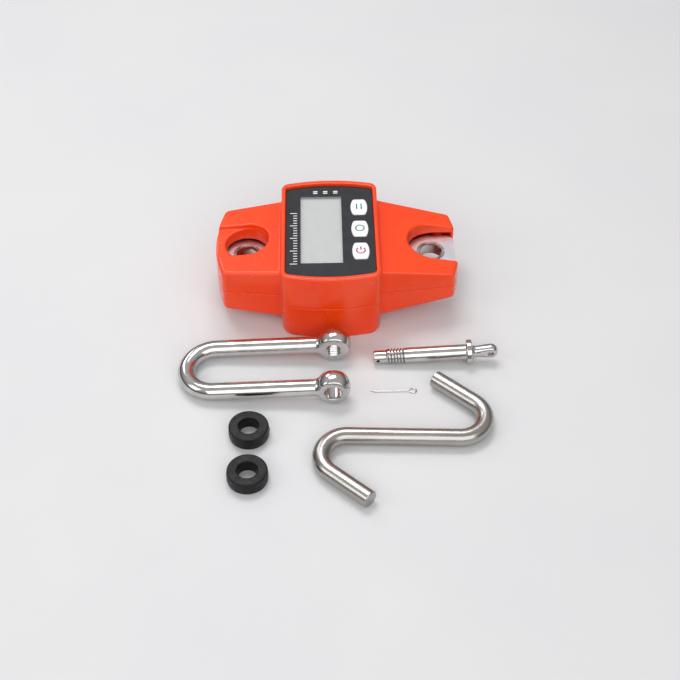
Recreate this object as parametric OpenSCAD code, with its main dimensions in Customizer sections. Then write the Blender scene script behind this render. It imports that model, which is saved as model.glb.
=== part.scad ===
// Crane scale with its hanging kit, laid out flat: the case on its back, and beside it
// the shackle, its pin and cotter pin, two rubber rings and an S-hook.
// Origin: middle of the case's back face. X runs from the shackle end to the hook end,
// Y towards the far edge of the case, Z up through the display. Millimetres.

/* [Case block] */
// Width of the centre block
block_w = 76; // [72:1:96]
// Length of the block's side edges
block_l = 108.6; // [104:1:136]
// How far the block's two end walls bow out at their middle
block_bow = 5; // [3:0.5:7]
// Height of the case
case_h = 61; // [60:1:76]
// Radius of the block's upright corners
corner_r = 5; // [3:0.5:7]
// Wall of both shells
wall = 2.8; // [2.2:0.1:3.4]

/* [Wings] */
// Width of a wing where it leaves the block
wing_w = 86.4; // [80:1:104]
// Thickness of a wing where it leaves the block
wing_t = 46; // [44:1:56]
// How much each side edge draws in per millimetre
wing_taper = 0.128; // [0.1:0.01:0.16]
// How much each broad face of the shackle wing draws in per millimetre
shackle_slope = 0.09; // [0.07:0.01:0.15]
// How much each broad face of the hook wing draws in per millimetre
hook_slope = 0.18; // [0.1:0.01:0.19]
// Length of the wing at the shackle end
shackle_wing_l = 51.4; // [48:1:62]
// How far the shackle end bows out at its middle
shackle_end_bow = 6.4; // [4:0.5:9]
// Length of the wing at the hook end
hook_wing_l = 62.3; // [58:1:75]
// Size of the cut corners at the hook end, along X
hook_corner = 4.3; // [3:0.5:6]

/* [Pockets] */
// Distance from the shackle end to the middle of its eye
shackle_eye_in = 24.1; // [23:0.5:29]
// Distance from the hook end to the middle of its eye
hook_eye_in = 20.8; // [20:0.5:25]
// Radius of the round pocket at the shackle end
pocket_r = 16.5; // [14:0.5:19]
// Half width of the shallow channel that leads out of that pocket
channel_half = 17.2; // [16:0.2:20]
// Depth of that channel below the wing's face
channel_deep = 3.5; // [2:0.5:4]
// Half width of the open slot at the hook end
slot_half = 19.3; // [17:0.1:23]
// Gap between the load cell and the case
cell_gap = 1.6; // [1:0.1:2]

/* [Load cell] */
// Thickness of the load cell plate
cell_t = 9.5; // [8:0.5:11.5]
// Half width of the plate at its eyes
cell_half = 18.4; // [16:0.1:18.6]
// Half width of the bar between the eyes
bar_half = 14; // [13:0.5:16]
// Radius of the hole in each eye
eye_r = 8.5; // [7.5:0.5:10.2]
// Wall of each eye's bush
bush_wall = 2.7; // [2:0.1:3.2]
// How far a bush stands out of the plate
bush_proud = 0.4; // [0.2:0.1:0.8]

/* [Display] */
// Rim left round the panel at the block's sides
rim_side = 3.8; // [3:0.1:5]
// Rim left round the panel at the block's ends
rim_end = 4.8; // [4:0.1:6]
// Depth of the panel's face below the rim
panel_deep = 2.5; // [1:0.1:3]
// Thickness of the panel
panel_t = 2; // [1.5:0.1:2.5]
// Width of the display window
window_w = 32.4; // [28:0.2:36]
// Length of the display window
window_l = 78.5; // [70:0.5:86]
// Distance from the panel's side to the window
window_in = 11.3; // [10:0.1:13]
// Shift of the window's middle towards the far edge
window_y = 1.85; // [0:0.05:3]
// Width of a key at its middle
key_w = 13.4; // [11:0.1:14]
// Length of a key
key_l = 18.6; // [16:0.1:20]
// Distance from the panel's other side to a key's middle
key_in = 10.8; // [10:0.1:13]
// Distance between keys
key_step = 25.9; // [23:0.1:28]
// How far a key stands out of the panel
key_proud = 0.9; // [0.7:0.1:1.5]
// Travel of a key
key_travel = 0.6; // [0.3:0.1:0.8]

/* [Battery box] */
// Radius of a cell
battery_r = 7.1; // [5:0.05:7.2]
// Length of a cell
battery_l = 50.5; // [44:0.5:51]
// Thickness of the battery cover
cover_t = 2.2; // [1.8:0.1:2.6]

/* [Shackle and pin] */
// Diameter of the shackle's rod
rod_d = 13; // [11:0.5:15]
// Distance between the middles of the two legs
leg_step = 44.2; // [38:0.2:54]
// Distance from the eyes to the middle of the bow's rod
shackle_l = 111.3; // [92:0.1:134]
// Diameter of the round eyes
ball_d = 26; // [22:0.5:31]
// Width of an eye across its flats
ball_w = 14; // [12:0.5:15]
// Diameter of the pin's shank and thread
pin_d = 12; // [10:0.5:12.4]
// Diameter of the clear eye
clear_d = 13; // [12.8:0.1:15]
// Minor diameter of the threaded eye
thread_minor_d = 10.2; // [9:0.1:12]
// Length of the pin from its tip to the flange
pin_l = 70.6; // [66:0.5:85]
// Diameter of the pin's flange
flange_d = 19; // [17:0.5:23]
// Diameter of the wire of the cotter pin
wire_d = 1; // [0.8:0.1:1.2]
// Length of the cotter pin
cotter_l = 34.5; // [30:0.5:41]

/* [Rings and hook] */
// Outer diameter of a rubber ring
ring_d = 31; // [28:0.1:38]
// Bore of a rubber ring
ring_bore = 14.2; // [13:0.1:17]
// Height of a rubber ring
ring_h = 10.5; // [9:0.5:14]
// Diameter of the S-hook's rod
hook_d = 13; // [11:0.5:15.6]
// Radius of the S-hook's bends at the middle of the rod
hook_bend_r = 19.2; // [17:0.2:23]
// Length of the S-hook's straight middle
hook_mid_l = 80.2; // [70:0.2:99]
// Length of the S-hook's straight ends
hook_tip_l = 37.1; // [30:0.1:45]
// Turn of each bend in degrees
hook_turn = 140.7; // [130:0.1:145]

/* [Hidden] */
$fn = 64;

// Colours
orange = "#ee4a24";
black = "#2b2d30";
steel = "#b9b9b7";
white = "#f2f2f0";

// Case
split = case_h / 2;                                   // height of the parting plane
half_w = block_w / 2;
block_end = block_l / 2 + block_bow;                  // middle of a bowed end wall
bow_r = (half_w * half_w + block_bow * block_bow) / (2 * block_bow);
bow_y = block_end - bow_r;                            // middle of that wall's arc
shackle_end = -half_w - shackle_wing_l;
hook_end = half_w + hook_wing_l;
end_half = wing_w / 2 - wing_taper * (shackle_wing_l - shackle_end_bow);
end_r = (end_half * end_half + shackle_end_bow * shackle_end_bow) / (2 * shackle_end_bow);
inner_start = 18;                                     // how far a wing reaches into the block
far_out = 12;                                         // reach of a cutting solid past a face

// Load cell
shackle_eye = shackle_end + shackle_eye_in;
hook_eye = hook_end - hook_eye_in;
cell_top = split + cell_t / 2;
cell_low = split - cell_t / 2;
bush_r = eye_r + bush_wall;
cell_end = hook_end - 1.8;
cell_corner_r = 7;
cell_screw_x = -half_w - 2;
cell_screw_y = 8;
cell_screw_r = 2;
cell_screw_l = 16;
cell_screw_head_r = 3.4;
cell_screw_head_h = 2.4;
cell_post_r = 4.5;                                    // posts that the load cell is screwed to
gauge_hole_r = 7;
gauge_hole_x = 9;
gauge_slot = 5;                                       // width of the slot between the two holes
gauge_t = 0.15;
gauge_size = [6, 4];
gauge_lead_r = 1.1;
gauge_lead_y = bar_half + 2;
bush_chamfer = 0.3;
slot_back = 0.7;                                      // slot's round end, from the eye to the hook end

// Screws that hold the shells together
screw_r = 1.5;
screw_seat = split - 11.5;
screw_l = 19;
screw_head_r = 2.75;
screw_head_h = 2;
screw_head_gap = 0.35;
screw_gap = 0.2;                                      // round a screw's shank in the piece it passes
screw_spare = 1.5;                                    // hole left past a screw's end
screw_cross = [3.2, 0.7];                             // length and width of a head's cross
boss_r = 3.2;
rear_boss_r = 4.2;
shackle_screw_in = 12.4;                              // from the shackle end
hook_screw_in = 13.3;                                 // from the hook end
wing_screw_side = 15.2;                               // from the side of the wing's root
block_screw_in = [6.5, 6.3];                          // from the block's side and end
screw_spots = [
    for (s = [-1, 1])
        for (p = [
            [shackle_end + shackle_screw_in, wing_w / 2 - wing_screw_side],
            [hook_end - hook_screw_in, wing_w / 2 - wing_screw_side],
            [-half_w + block_screw_in[0], block_l / 2 - block_screw_in[1]],
            [half_w - block_screw_in[0], block_l / 2 - block_screw_in[1]]
        ]) [p[0], s * p[1]]
];

// Display
fit = 0.15;                                           // gap round a piece that is set in
panel_top = case_h - panel_deep;
panel_low = panel_top - panel_t;
deck_t = 2.4;
deck_low = panel_low - deck_t;
panel_half = half_w - rim_side;
window_x = -panel_half + window_in + window_w / 2;
window_t = 1.3;
window_gap = 0.05;
window_sunk = 0.2;                                    // face of the window below the panel's
key_x = panel_half - key_in;
first_key_y = 27.4;
key_y = [first_key_y, first_key_y - key_step, first_key_y - 2 * key_step];
key_bulge = 2;                                        // how far a key's long sides bow out
key_gap = 0.25;
key_collar = 0.8;                                     // how far a key's foot spreads
key_collar_t = 1;
key_foot_top = panel_low - 0.2;
key_root = 0.2;                                       // how far a key's stem starts inside its foot
board_t = 1.6;
board_drop = 4.9;                                     // from the panel to the board
board_top = panel_low - board_drop;
board_low = board_top - board_t;
board_half_x = half_w - wall - 1.4;
board_near = -block_l / 2 + 8;
board_far = block_l / 2 - 6;
lcd_edge = 1.9;                                       // glass hidden all round the window
lcd_t = 2.2;
lcd_top = panel_low - 0.2;
frame_wall = 0.8;
frame_gap = 0.3;
frame_out = lcd_edge + frame_wall + frame_gap;        // edge of the deck's opening past the window
guide_in = 0.5;                                       // light guide's edge inside the glass's
post_r = 2.4;
post_in = 3.2;                                        // first two posts, from the panel's side
post_out = window_x + window_w / 2 + 11;              // other two, past the window
board_posts = [
    [-panel_half + post_in, board_near + 7], [-panel_half + post_in, board_far - 9],
    [post_out, board_near + 4], [post_out, board_far - 3]
];
board_screw_r = 1;
board_screw_l = 3;                                    // length past the board
board_screw_head_r = 2;
board_screw_head_h = 1.4;
post_hole = 4.2;
switch_size = 6;
switch_h = 1.9;
switch_button_r = 1.75;
switch_gap = 0.05;                                    // left between a switch and a pressed key
buzzer_r = 6;
buzzer_h = 5.5;
buzzer_at = [-18, -2];
// Each chip: middle, size and thickness
chips = [
    [[-2.5, -3.5], [11, 11], 1.6],
    [[10.5, -16], [5, 8], 1.5],
    [[-18, 20.5], [8, 5], 1.5],
    [[-21.5, -20.5], [5, 11], 3.2]
];
socket_h = 4;
gauge_socket = [10, 6];
battery_socket = [8, 6];
socket_gap = 0.2;                                     // between a lead's end and its socket

// Battery box
cover_gap = 0.2;
battery_step = 2 * battery_r + 1.2;
spring_l = 4.4;
contact_t = 0.4;
box_l = battery_l + spring_l + 2 * contact_t + 0.6;
box_x = -27.5;
box_half = 1.5 * battery_step + 0.5;
box_wall = 2;
box_top = cover_t + cover_gap + 2 * battery_r + 1.8;
battery_z = cover_t + cover_gap + battery_r + 0.3;
battery_nub_r = 2.7;
battery_nub_l = 1;
contact_half = 5.5;
cover_half = box_half + 4.3;
cover_end = box_x + box_l + 1.6;
tongue = 1.4;
tongue_t = 1;
tongue_stop = 3;                                      // tongues end this far before the cover does
bed_t = 5;                                            // thicker floor round the cover
bed_edge = 4;
grip_step = 2.4;                                      // grooves that a thumb pushes on
grip_w = 1.2;
grip_half = 9;
grip_deep = 0.5;
battery_lead_r = 1;
battery_lead_y = -bar_half - 7.6;
lead_hole_r = 1.3;

// Kit: places are measured from the case's near edge
kit_y = -block_end;
eye_x = 0.8;
far_leg = kit_y - 19.7;
near_leg = far_leg - leg_step;
rod_r = rod_d / 2;
bow_bend_r = leg_step / 2;
shackle_turn = -1.4;
shackle_tilt = asin((ball_d / 2 - rod_r) / shackle_l);
pin_x = 31.4;
pin_y = kit_y - 27.2;
flange_t = 4.4;
pin_r = pin_d / 2;
pin_tip = 9.5;                                        // plain tip ahead of the thread
flange_edge = 1;                                      // bevel of the flange's rims
thread_start = pin_tip + 1;
tip_r_less = 1;                                       // the tip's radius less than the thread's
pin_neck = 3.6;
pin_neck_less = 2.2;                                  // the neck's radius less than the shank's
lug_l = 16;
lug_r = 5.6;
lug_t = 7.6;
lug_stem_r = 4.6;
lug_hole_r = 2.1;
cotter_hole_r = 1.3;
cotter_hole_x = 3.4;
pin_tilt = atan((flange_d - pin_d) / 2 / (pin_l + flange_edge - thread_start));
pin_z = pin_r * cos(pin_tilt) - thread_start * sin(pin_tilt);
cotter_x = 28.4;
cotter_y = kit_y - 57.7;
loop_r = 2.3;
leg_gap = 0.02;                                       // between a leg and the cotter pin's middle
short_leg = 2.2;                                      // one leg ends this far before the other
ring_flash = 0.3;                                     // moulding line round a ring
ring_flash_half = 0.4;
ring_edge = [1.2, 0.9];
bore_edge = 0.5;
ring_x = -61.8;
ring_y = [kit_y - 97.9, kit_y - 138.8];
hook_x = 50.3;
hook_y = kit_y - 108;
hook_angle = -2.6;
hook_r = hook_d / 2;
tip_r = hook_r - 0.01;                                // a tip slips just inside the bend it joins

// ---- Shared shapes ----

// Round bar along X from x0 to x1
module bar_x(x0, x1, r) {
    translate([x0, 0, 0]) rotate([0, 90, 0]) cylinder(r = r, h = x1 - x0);
}

// Box given by its low and high corners
module box(low, high) {
    translate(low) cube(high - low);
}

// One wedge outside a rounded corner, to be taken off
module corner_wedge(r, turn, h) {
    difference() {
        linear_extrude(h) polygon([[0, 0], [3 * r, 0], [3 * r, 3 * r], [3 * r / tan(turn), 3 * r]]);
        cylinder(r = r, h = 2 * h, center = true);
    }
}

// Bowed block drawn in by dx at the sides and dy at the end walls
module bowed_block(dx, dy, r, z0, z1) {
    hw = half_w - dx;
    ar = bow_r - dy;
    h = z1 - z0;
    corner_y = sqrt(pow(ar - r, 2) - pow(hw - r, 2));
    translate([0, 0, z0]) difference() {
        intersection() {
            translate([-hw, -block_end, 0]) cube([2 * hw, 2 * block_end, h]);
            translate([0, bow_y, 0]) cylinder(r = ar, h = h, $fn = 256);
            translate([0, -bow_y, 0]) cylinder(r = ar, h = h, $fn = 256);
        }
        for (mx = [0, 1])
            for (my = [0, 1])
                mirror([mx, 0, 0]) mirror([0, my, 0])
                    translate([hw - r, bow_y + corner_y, -1])
                        corner_wedge(r, atan2(corner_y, hw - r), h + 2);
    }
}

// Everything between the two sloping faces of a wing, drawn in by the given depth
module wing_slab(side, deep) {
    x0 = half_w - inner_start;
    x1 = half_w + max(shackle_wing_l, hook_wing_l) + far_out;
    slope = side < 0 ? shackle_slope : hook_slope;
    t0 = wing_t / 2 + slope * inner_start - deep;
    t1 = wing_t / 2 - slope * (x1 - half_w) - deep;
    translate([0, block_l, split]) rotate([90, 0, 0]) linear_extrude(2 * block_l)
        polygon([[side * x0, t0], [side * x1, t1], [side * x1, -t1], [side * x0, -t0]]);
}

// Wing at the shackle end, its end bowed
module shackle_wing(deep) {
    x0 = half_w - inner_start;
    y0 = wing_w / 2 + wing_taper * inner_start - deep;
    y1 = wing_w / 2 - wing_taper * shackle_wing_l - deep;
    intersection() {
        linear_extrude(case_h) polygon([[-x0, y0], [shackle_end, y1], [shackle_end, -y1], [-x0, -y0]]);
        translate([shackle_end + end_r, 0, -1]) cylinder(r = end_r - deep, h = case_h + 2, $fn = 256);
        wing_slab(-1, deep);
    }
}

// Wing at the hook end, its corners cut
module hook_wing(deep) {
    x0 = half_w - inner_start;
    y0 = wing_w / 2 + wing_taper * inner_start - deep;
    cut_x = hook_end - hook_corner - deep / 2;
    y1 = wing_w / 2 - wing_taper * (cut_x - half_w) - deep;
    intersection() {
        linear_extrude(case_h) polygon([
            [x0, y0], [cut_x, y1], [hook_end - deep, slot_half - 1],
            [hook_end - deep, 1 - slot_half], [cut_x, -y1], [x0, -y0]
        ]);
        wing_slab(1, deep);
    }
}

// Outside of the whole case
module case_outside() {
    bowed_block(0, 0, corner_r, 0, case_h);
    shackle_wing(0);
    hook_wing(0);
}

// Space inside the case
module case_inside() {
    bowed_block(wall, wall, corner_r - wall / 2, wall, deck_low);
    shackle_wing(wall);
    hook_wing(wall);
}

// Plan of the channel at the shackle end, through the whole height
module channel(half) {
    translate([shackle_eye, 0, -1]) cylinder(r = half, h = case_h + 2);
    translate([shackle_end - far_out, -half, -1])
        cube([shackle_eye - shackle_end + far_out, 2 * half, case_h + 2]);
}

// Plan of the open slot at the hook end, through the whole height
module slot(half) {
    translate([hook_eye + slot_back, 0, -1]) cylinder(r = half, h = case_h + 2);
    translate([hook_eye + slot_back, -half, -1]) cube([hook_eye_in + far_out, 2 * half, case_h + 2]);
}

// Walls of the pocket, channel and slot, kept clear of the load cell
module pocket_walls() {
    difference() {
        union() {
            translate([shackle_eye, 0, 0]) cylinder(r = pocket_r + wall, h = case_h);
            difference() {
                channel(channel_half + wall);
                wing_slab(-1, channel_deep + wall);
            }
            slot(slot_half + wall);
        }
        box([-hook_end * 2, -block_l, cell_low - cell_gap], [hook_end * 2, block_l, cell_top + cell_gap]);
    }
}

// What is cut out for the pocket, channel and slot
module pocket_cuts() {
    translate([shackle_eye, 0, -1]) cylinder(r = pocket_r, h = case_h + 2);
    difference() {
        channel(channel_half);
        wing_slab(-1, channel_deep);
    }
    slot(slot_half);
}

// Hollow case with its pockets, before it is split
module hollow_case() {
    difference() {
        case_outside();
        difference() {
            case_inside();
            pocket_walls();
        }
        pocket_cuts();
    }
}

// Plan of a key, drawn out by the given amount
module key_shape(grow, z0, z1) {
    half_l = key_l / 2;
    r = (half_l * half_l + key_bulge * key_bulge) / (2 * key_bulge);
    h = z1 - z0;
    translate([0, 0, z0]) intersection() {
        translate([-key_w, -half_l - grow, 0]) cube([2 * key_w, key_l + 2 * grow, h]);
        translate([key_w / 2 - r, 0, 0]) cylinder(r = r + grow, h = h, $fn = 128);
        translate([r - key_w / 2, 0, 0]) cylinder(r = r + grow, h = h, $fn = 128);
    }
}

// ---- Case ----

module front_shell() {
    color(orange) difference() {
        intersection() {
            union() {
                hollow_case();
                intersection() {
                    case_outside();
                    union() {
                        for (p = screw_spots)
                            translate([p[0], p[1], split]) cylinder(r = boss_r, h = case_h);
                    }
                }
                for (p = board_posts)
                    translate([p[0], p[1], board_top]) cylinder(r = post_r, h = deck_low + 1 - board_top);
            }
            box([-2 * hook_end, -block_l, split], [2 * hook_end, block_l, case_h]);
        }
        bowed_block(rim_side - fit, rim_end - fit, corner_r - 2, panel_low, case_h + 1);
        translate([window_x, window_y, 0])
            box([-window_w / 2 - frame_out, -window_l / 2 - frame_out, deck_low - 1],
                [window_w / 2 + frame_out, window_l / 2 + frame_out, panel_low + 1]);
        for (y = key_y)
            translate([key_x, y, 0]) key_shape(key_collar + key_gap, deck_low - 1, panel_low + 1);
        for (p = screw_spots)
            translate([p[0], p[1], split - 1])
                cylinder(r = screw_r, h = screw_seat + screw_l + screw_spare - split);
        for (p = board_posts)
            translate([p[0], p[1], board_top - 1]) cylinder(r = board_screw_r, h = post_hole);
    }
}

module rear_shell() {
    color(orange) difference() {
        intersection() {
            union() {
                hollow_case();
                intersection() {
                    case_outside();
                    union() {
                        for (p = screw_spots)
                            translate([p[0], p[1], 0]) cylinder(r = rear_boss_r, h = split);
                        for (s = [-1, 1])
                            translate([cell_screw_x, s * cell_screw_y, 0])
                                cylinder(r = cell_post_r, h = cell_low);
                        box([-half_w, -cover_half - bed_edge, 0],
                            [cover_end + bed_edge, cover_half + bed_edge, bed_t]);
                        box([box_x - box_wall, -box_half - box_wall, 0],
                            [box_x + box_l + box_wall, box_half + box_wall, box_top + box_wall]);
                    }
                }
            }
            box([-2 * hook_end, -block_l, 0], [2 * hook_end, block_l, split]);
        }
        box([box_x, -box_half, -1], [box_x + box_l, box_half, box_top]);
        cover_shape(cover_gap);
        for (p = screw_spots) {
            translate([p[0], p[1], -1]) cylinder(r = screw_head_r + screw_head_gap, h = screw_seat + 1);
            translate([p[0], p[1], 0]) cylinder(r = screw_r + screw_gap, h = split + 1);
        }
        for (s = [-1, 1])
            translate([cell_screw_x, s * cell_screw_y, cell_top - cell_screw_l - 0.5])
                cylinder(r = cell_screw_r, h = split);
        translate([0, battery_lead_y, box_top - 1]) cylinder(r = lead_hole_r, h = box_wall + 2);
    }
}

// Outline of the battery cover and its tongues, drawn out by a gap
module cover_shape(gap) {
    x0 = -half_w - (gap > 0 ? 1 : 0);
    z0 = gap > 0 ? -1 : 0;
    box([x0, -cover_half - gap, z0], [cover_end + gap, cover_half + gap, cover_t + gap]);
    box([x0, -cover_half - tongue - gap, cover_t - tongue_t - gap],
        [cover_end - tongue_stop + gap, cover_half + tongue + gap, cover_t + gap]);
}

module battery_cover() {
    color(orange) difference() {
        cover_shape(0);
        for (i = [0 : 4])
            translate([-half_w + 6 + grip_step * i, 0, 0])
                box([0, -grip_half, -1], [grip_w, grip_half, grip_deep]);
    }
}

module case_screws() {
    color("#8f9194") for (p = screw_spots)
        translate([p[0], p[1], screw_seat]) difference() {
            union() {
                translate([0, 0, -screw_head_h]) cylinder(r = screw_head_r, h = screw_head_h);
                cylinder(r = screw_r, h = screw_l);
            }
            for (a = [0, 90])
                rotate(a) translate([0, 0, -screw_head_h])
                    cube([screw_cross[0], screw_cross[1], 2.2], center = true);
        }
}

// ---- Load cell ----

module load_cell() {
    color(steel) difference() {
        translate([0, 0, cell_low]) union() {
            translate([shackle_eye, -bar_half, 0]) cube([hook_eye - shackle_eye, 2 * bar_half, cell_t]);
            translate([shackle_eye, 0, 0]) cylinder(r = cell_half, h = cell_t);
            translate([hook_eye, 0, 0]) cylinder(r = cell_half, h = cell_t);
            translate([hook_eye, -cell_half, 0])
                cube([cell_end - cell_corner_r - hook_eye, 2 * cell_half, cell_t]);
            translate([hook_eye, cell_corner_r - cell_half, 0])
                cube([cell_end - hook_eye, 2 * (cell_half - cell_corner_r), cell_t]);
            for (s = [-1, 1])
                translate([cell_end - cell_corner_r, s * (cell_half - cell_corner_r), 0])
                    cylinder(r = cell_corner_r, h = cell_t);
        }
        for (x = [shackle_eye, hook_eye])
            translate([x, 0, 0]) cylinder(r = bush_r, h = case_h);
        for (s = [-1, 1]) {
            translate([s * gauge_hole_x, 0, 0]) cylinder(r = gauge_hole_r, h = case_h);
            translate([cell_screw_x, s * cell_screw_y, 0]) cylinder(r = cell_screw_r + screw_gap, h = case_h);
        }
        box([-gauge_hole_x, -gauge_slot / 2, 0], [gauge_hole_x, gauge_slot / 2, case_h]);
    }
}

// Pressed bush in one of the load cell's eyes, its bore's edges eased
module eye_bush(x) {
    h = cell_t + 2 * bush_proud;
    translate([x, 0, split]) rotate_extrude() polygon([
        [eye_r, -h / 2], [bush_r - bush_chamfer, -h / 2], [bush_r, bush_chamfer - h / 2],
        [bush_r, h / 2 - bush_chamfer], [bush_r - bush_chamfer, h / 2], [eye_r, h / 2]
    ]);
}

module shackle_eye_bush() {
    color("#d8d6d4") eye_bush(shackle_eye);
}

module hook_eye_bush() {
    color("#d8d6d4") eye_bush(hook_eye);
}

module load_cell_screws() {
    color("#8f9194") for (s = [-1, 1])
        translate([cell_screw_x, s * cell_screw_y, cell_top]) difference() {
            union() {
                cylinder(r = cell_screw_head_r, h = cell_screw_head_h);
                translate([0, 0, -cell_screw_l]) cylinder(r = cell_screw_r, h = cell_screw_l + 0.5);
            }
            translate([0, 0, cell_screw_head_h - 1.4]) cylinder(r = 1.5, h = 2, $fn = 6);
        }
}

module strain_gauges() {
    color("#c08a3e") for (sx = [-1, 1])
        for (sy = [-1, 1])
            translate([sx * gauge_hole_x, sy * (bar_half + gauge_t / 2), split])
                cube([gauge_size[0], gauge_t, gauge_size[1]], center = true);
}

// Lead that rises beside the load cell and turns in to the board
module riser_lead(x, y, z0, z1, r) {
    translate([x, y, z0]) cylinder(r = r, h = z1 - z0);
    translate([x, y, z0]) sphere(r = r);
}

module gauge_lead() {
    color("#3b3b3d") {
        riser_lead(gauge_hole_x, gauge_lead_y, split, board_low - socket_h - socket_gap, gauge_lead_r);
        translate([gauge_hole_x, gauge_lead_y, split]) rotate([90, 0, 0]) cylinder(r = gauge_lead_r, h = 1.7);
    }
}

// ---- Display ----

module display_panel() {
    color(black) difference() {
        bowed_block(rim_side, rim_end, corner_r - 2, panel_low, panel_top);
        translate([window_x, window_y, 0])
            box([-window_w / 2, -window_l / 2, panel_low - 1], [window_w / 2, window_l / 2, panel_top + 1]);
        for (y = key_y)
            translate([key_x, y, 0]) key_shape(key_gap, panel_low - 1, panel_top + 1);
    }
}

module display_window() {
    w = window_w / 2 - window_gap;
    l = window_l / 2 - window_gap;
    top = panel_top - window_sunk;
    color("#dfe6e8", 0.4) translate([window_x, window_y, 0]) box([-w, -l, top - window_t], [w, l, top]);
}

module lcd_glass() {
    w = window_w / 2 + lcd_edge;
    l = window_l / 2 + lcd_edge;
    color("#c9c9c9") translate([window_x, window_y, 0]) box([-w, -l, lcd_top - lcd_t], [w, l, lcd_top]);
}

module lcd_backlight() {
    w = window_w / 2 + lcd_edge - guide_in;
    l = window_l / 2 + lcd_edge - guide_in;
    color(white) translate([window_x, window_y, 0]) box([-w, -l, board_top], [w, l, lcd_top - lcd_t]);
}

module lcd_frame() {
    w = window_w / 2 + lcd_edge;
    l = window_l / 2 + lcd_edge;
    color("#55585c") translate([window_x, window_y, 0]) difference() {
        box([-w - frame_wall, -l - frame_wall, board_top], [w + frame_wall, l + frame_wall, lcd_top]);
        box([-w, -l, board_top - 1], [w, l, lcd_top + 1]);
    }
}

module main_board() {
    color("#1e6b3a") difference() {
        box([-board_half_x, board_near, board_low], [board_half_x, board_far, board_top]);
        for (p = screw_spots)
            translate([p[0], p[1], 0]) cylinder(r = boss_r + 0.8, h = case_h);
        for (p = board_posts)
            translate([p[0], p[1], 0]) cylinder(r = board_screw_r + screw_gap, h = case_h);
    }
}

module board_screws() {
    color("#8f9194") for (p = board_posts)
        translate([p[0], p[1], board_low]) {
            translate([0, 0, -board_screw_head_h]) cylinder(r = board_screw_head_r, h = board_screw_head_h);
            cylinder(r = board_screw_r, h = board_t + board_screw_l);
        }
}

module board_chips() {
    color("#26282b") for (c = chips)
        translate([c[0][0], c[0][1], board_low - c[2] / 2]) cube([c[1][0], c[1][1], c[2]], center = true);
}

module board_sockets() {
    color("#efe9dc") {
        translate([gauge_hole_x, gauge_lead_y, board_low - socket_h / 2])
            cube([gauge_socket[0], gauge_socket[1], socket_h], center = true);
        translate([0, battery_lead_y, board_low - socket_h / 2])
            cube([battery_socket[0], battery_socket[1], socket_h], center = true);
    }
}

module key_switches() {
    top = key_foot_top - key_collar_t - key_travel - switch_gap;
    color("#2e3033") for (y = key_y)
        translate([key_x, y, board_top]) {
            translate([-switch_size / 2, -switch_size / 2, 0]) cube([switch_size, switch_size, switch_h]);
            cylinder(r = switch_button_r, h = top - board_top);
        }
}

module buzzer() {
    color("#26282b") translate([buzzer_at[0], buzzer_at[1], board_low - buzzer_h]) difference() {
        cylinder(r = buzzer_r, h = buzzer_h);
        translate([0, 0, -1]) cylinder(r = 1, h = 2);
    }
}

// A key: its face above the panel, its stem in the panel and a foot behind it
module key(i) {
    color(white) translate([key_x, key_y[i], 0]) {
        key_shape(0, key_foot_top - key_root, panel_top + key_proud);
        key_shape(key_collar, key_foot_top - key_collar_t, key_foot_top);
    }
}

module key_hold() {
    key(0);
}

module key_tare() {
    key(1);
}

module key_power() {
    key(2);
}

// ---- Batteries ----

// One round cell with its raised contact at the end away from the spring
module battery(i) {
    x0 = box_x + contact_t + spring_l;
    translate([0, (i - 1) * battery_step, battery_z]) {
        color("#3c5f8a") bar_x(x0, x0 + battery_l - battery_nub_l, battery_r);
        color(steel) bar_x(x0 + battery_l - battery_nub_l, x0 + battery_l, battery_nub_r);
    }
}

module battery_one() {
    battery(0);
}

module battery_two() {
    battery(1);
}

module battery_three() {
    battery(2);
}

// Round wire carried along a list of points, given sides per turn
module wire(path, r, sides) {
    n = len(path);
    rings = [
        for (i = [0 : n - 1])
            let (
                a = path[max(i - 1, 0)],
                b = path[min(i + 1, n - 1)],
                d = (b - a) / norm(b - a),
                up = abs(d[2]) > 0.9 ? [1, 0, 0] : [0, 0, 1],
                u = cross(d, up) / norm(cross(d, up)),
                v = cross(u, d)
            )
            for (k = [0 : sides - 1]) path[i] + r * (cos(360 * k / sides) * u + sin(360 * k / sides) * v)
    ];
    walls = [
        for (i = [0 : n - 2])
            for (k = [0 : sides - 1])
                let (m = (k + 1) % sides)
                for (t = [0, 1])
                    t == 0
                        ? [i * sides + k, i * sides + m, (i + 1) * sides + m]
                        : [i * sides + k, (i + 1) * sides + m, (i + 1) * sides + k]
    ];
    first = [for (k = [0 : sides - 1]) sides - 1 - k];
    last = [for (k = [0 : sides - 1]) (n - 1) * sides + k];
    polyhedron(rings, concat(walls, [first], [last]));
}

module battery_springs() {
    turns = 3.25;
    steps = 46;
    color(steel) for (i = [-1 : 1])
        translate([box_x + contact_t, i * battery_step, battery_z]) wire([
            for (k = [0 : steps])
                let (t = k / steps, r = 5 - 2.6 * t, a = 360 * turns * t)
                    [0.35 + (spring_l - 0.8) * t, r * cos(a), r * sin(a)]
        ], 0.3, 8);
}

module battery_contacts() {
    c = contact_half;
    color(steel) for (i = [-1 : 1])
        for (x = [box_x, box_x + box_l - contact_t])
            translate([x, i * battery_step, battery_z]) box([0, -c, -c], [contact_t, c, c]);
}

module battery_lead() {
    top = board_low - socket_h - socket_gap;
    color("#a02b25") riser_lead(0, battery_lead_y, box_top + box_wall + 1, top, battery_lead_r);
}

// ---- Hanging kit ----

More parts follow.
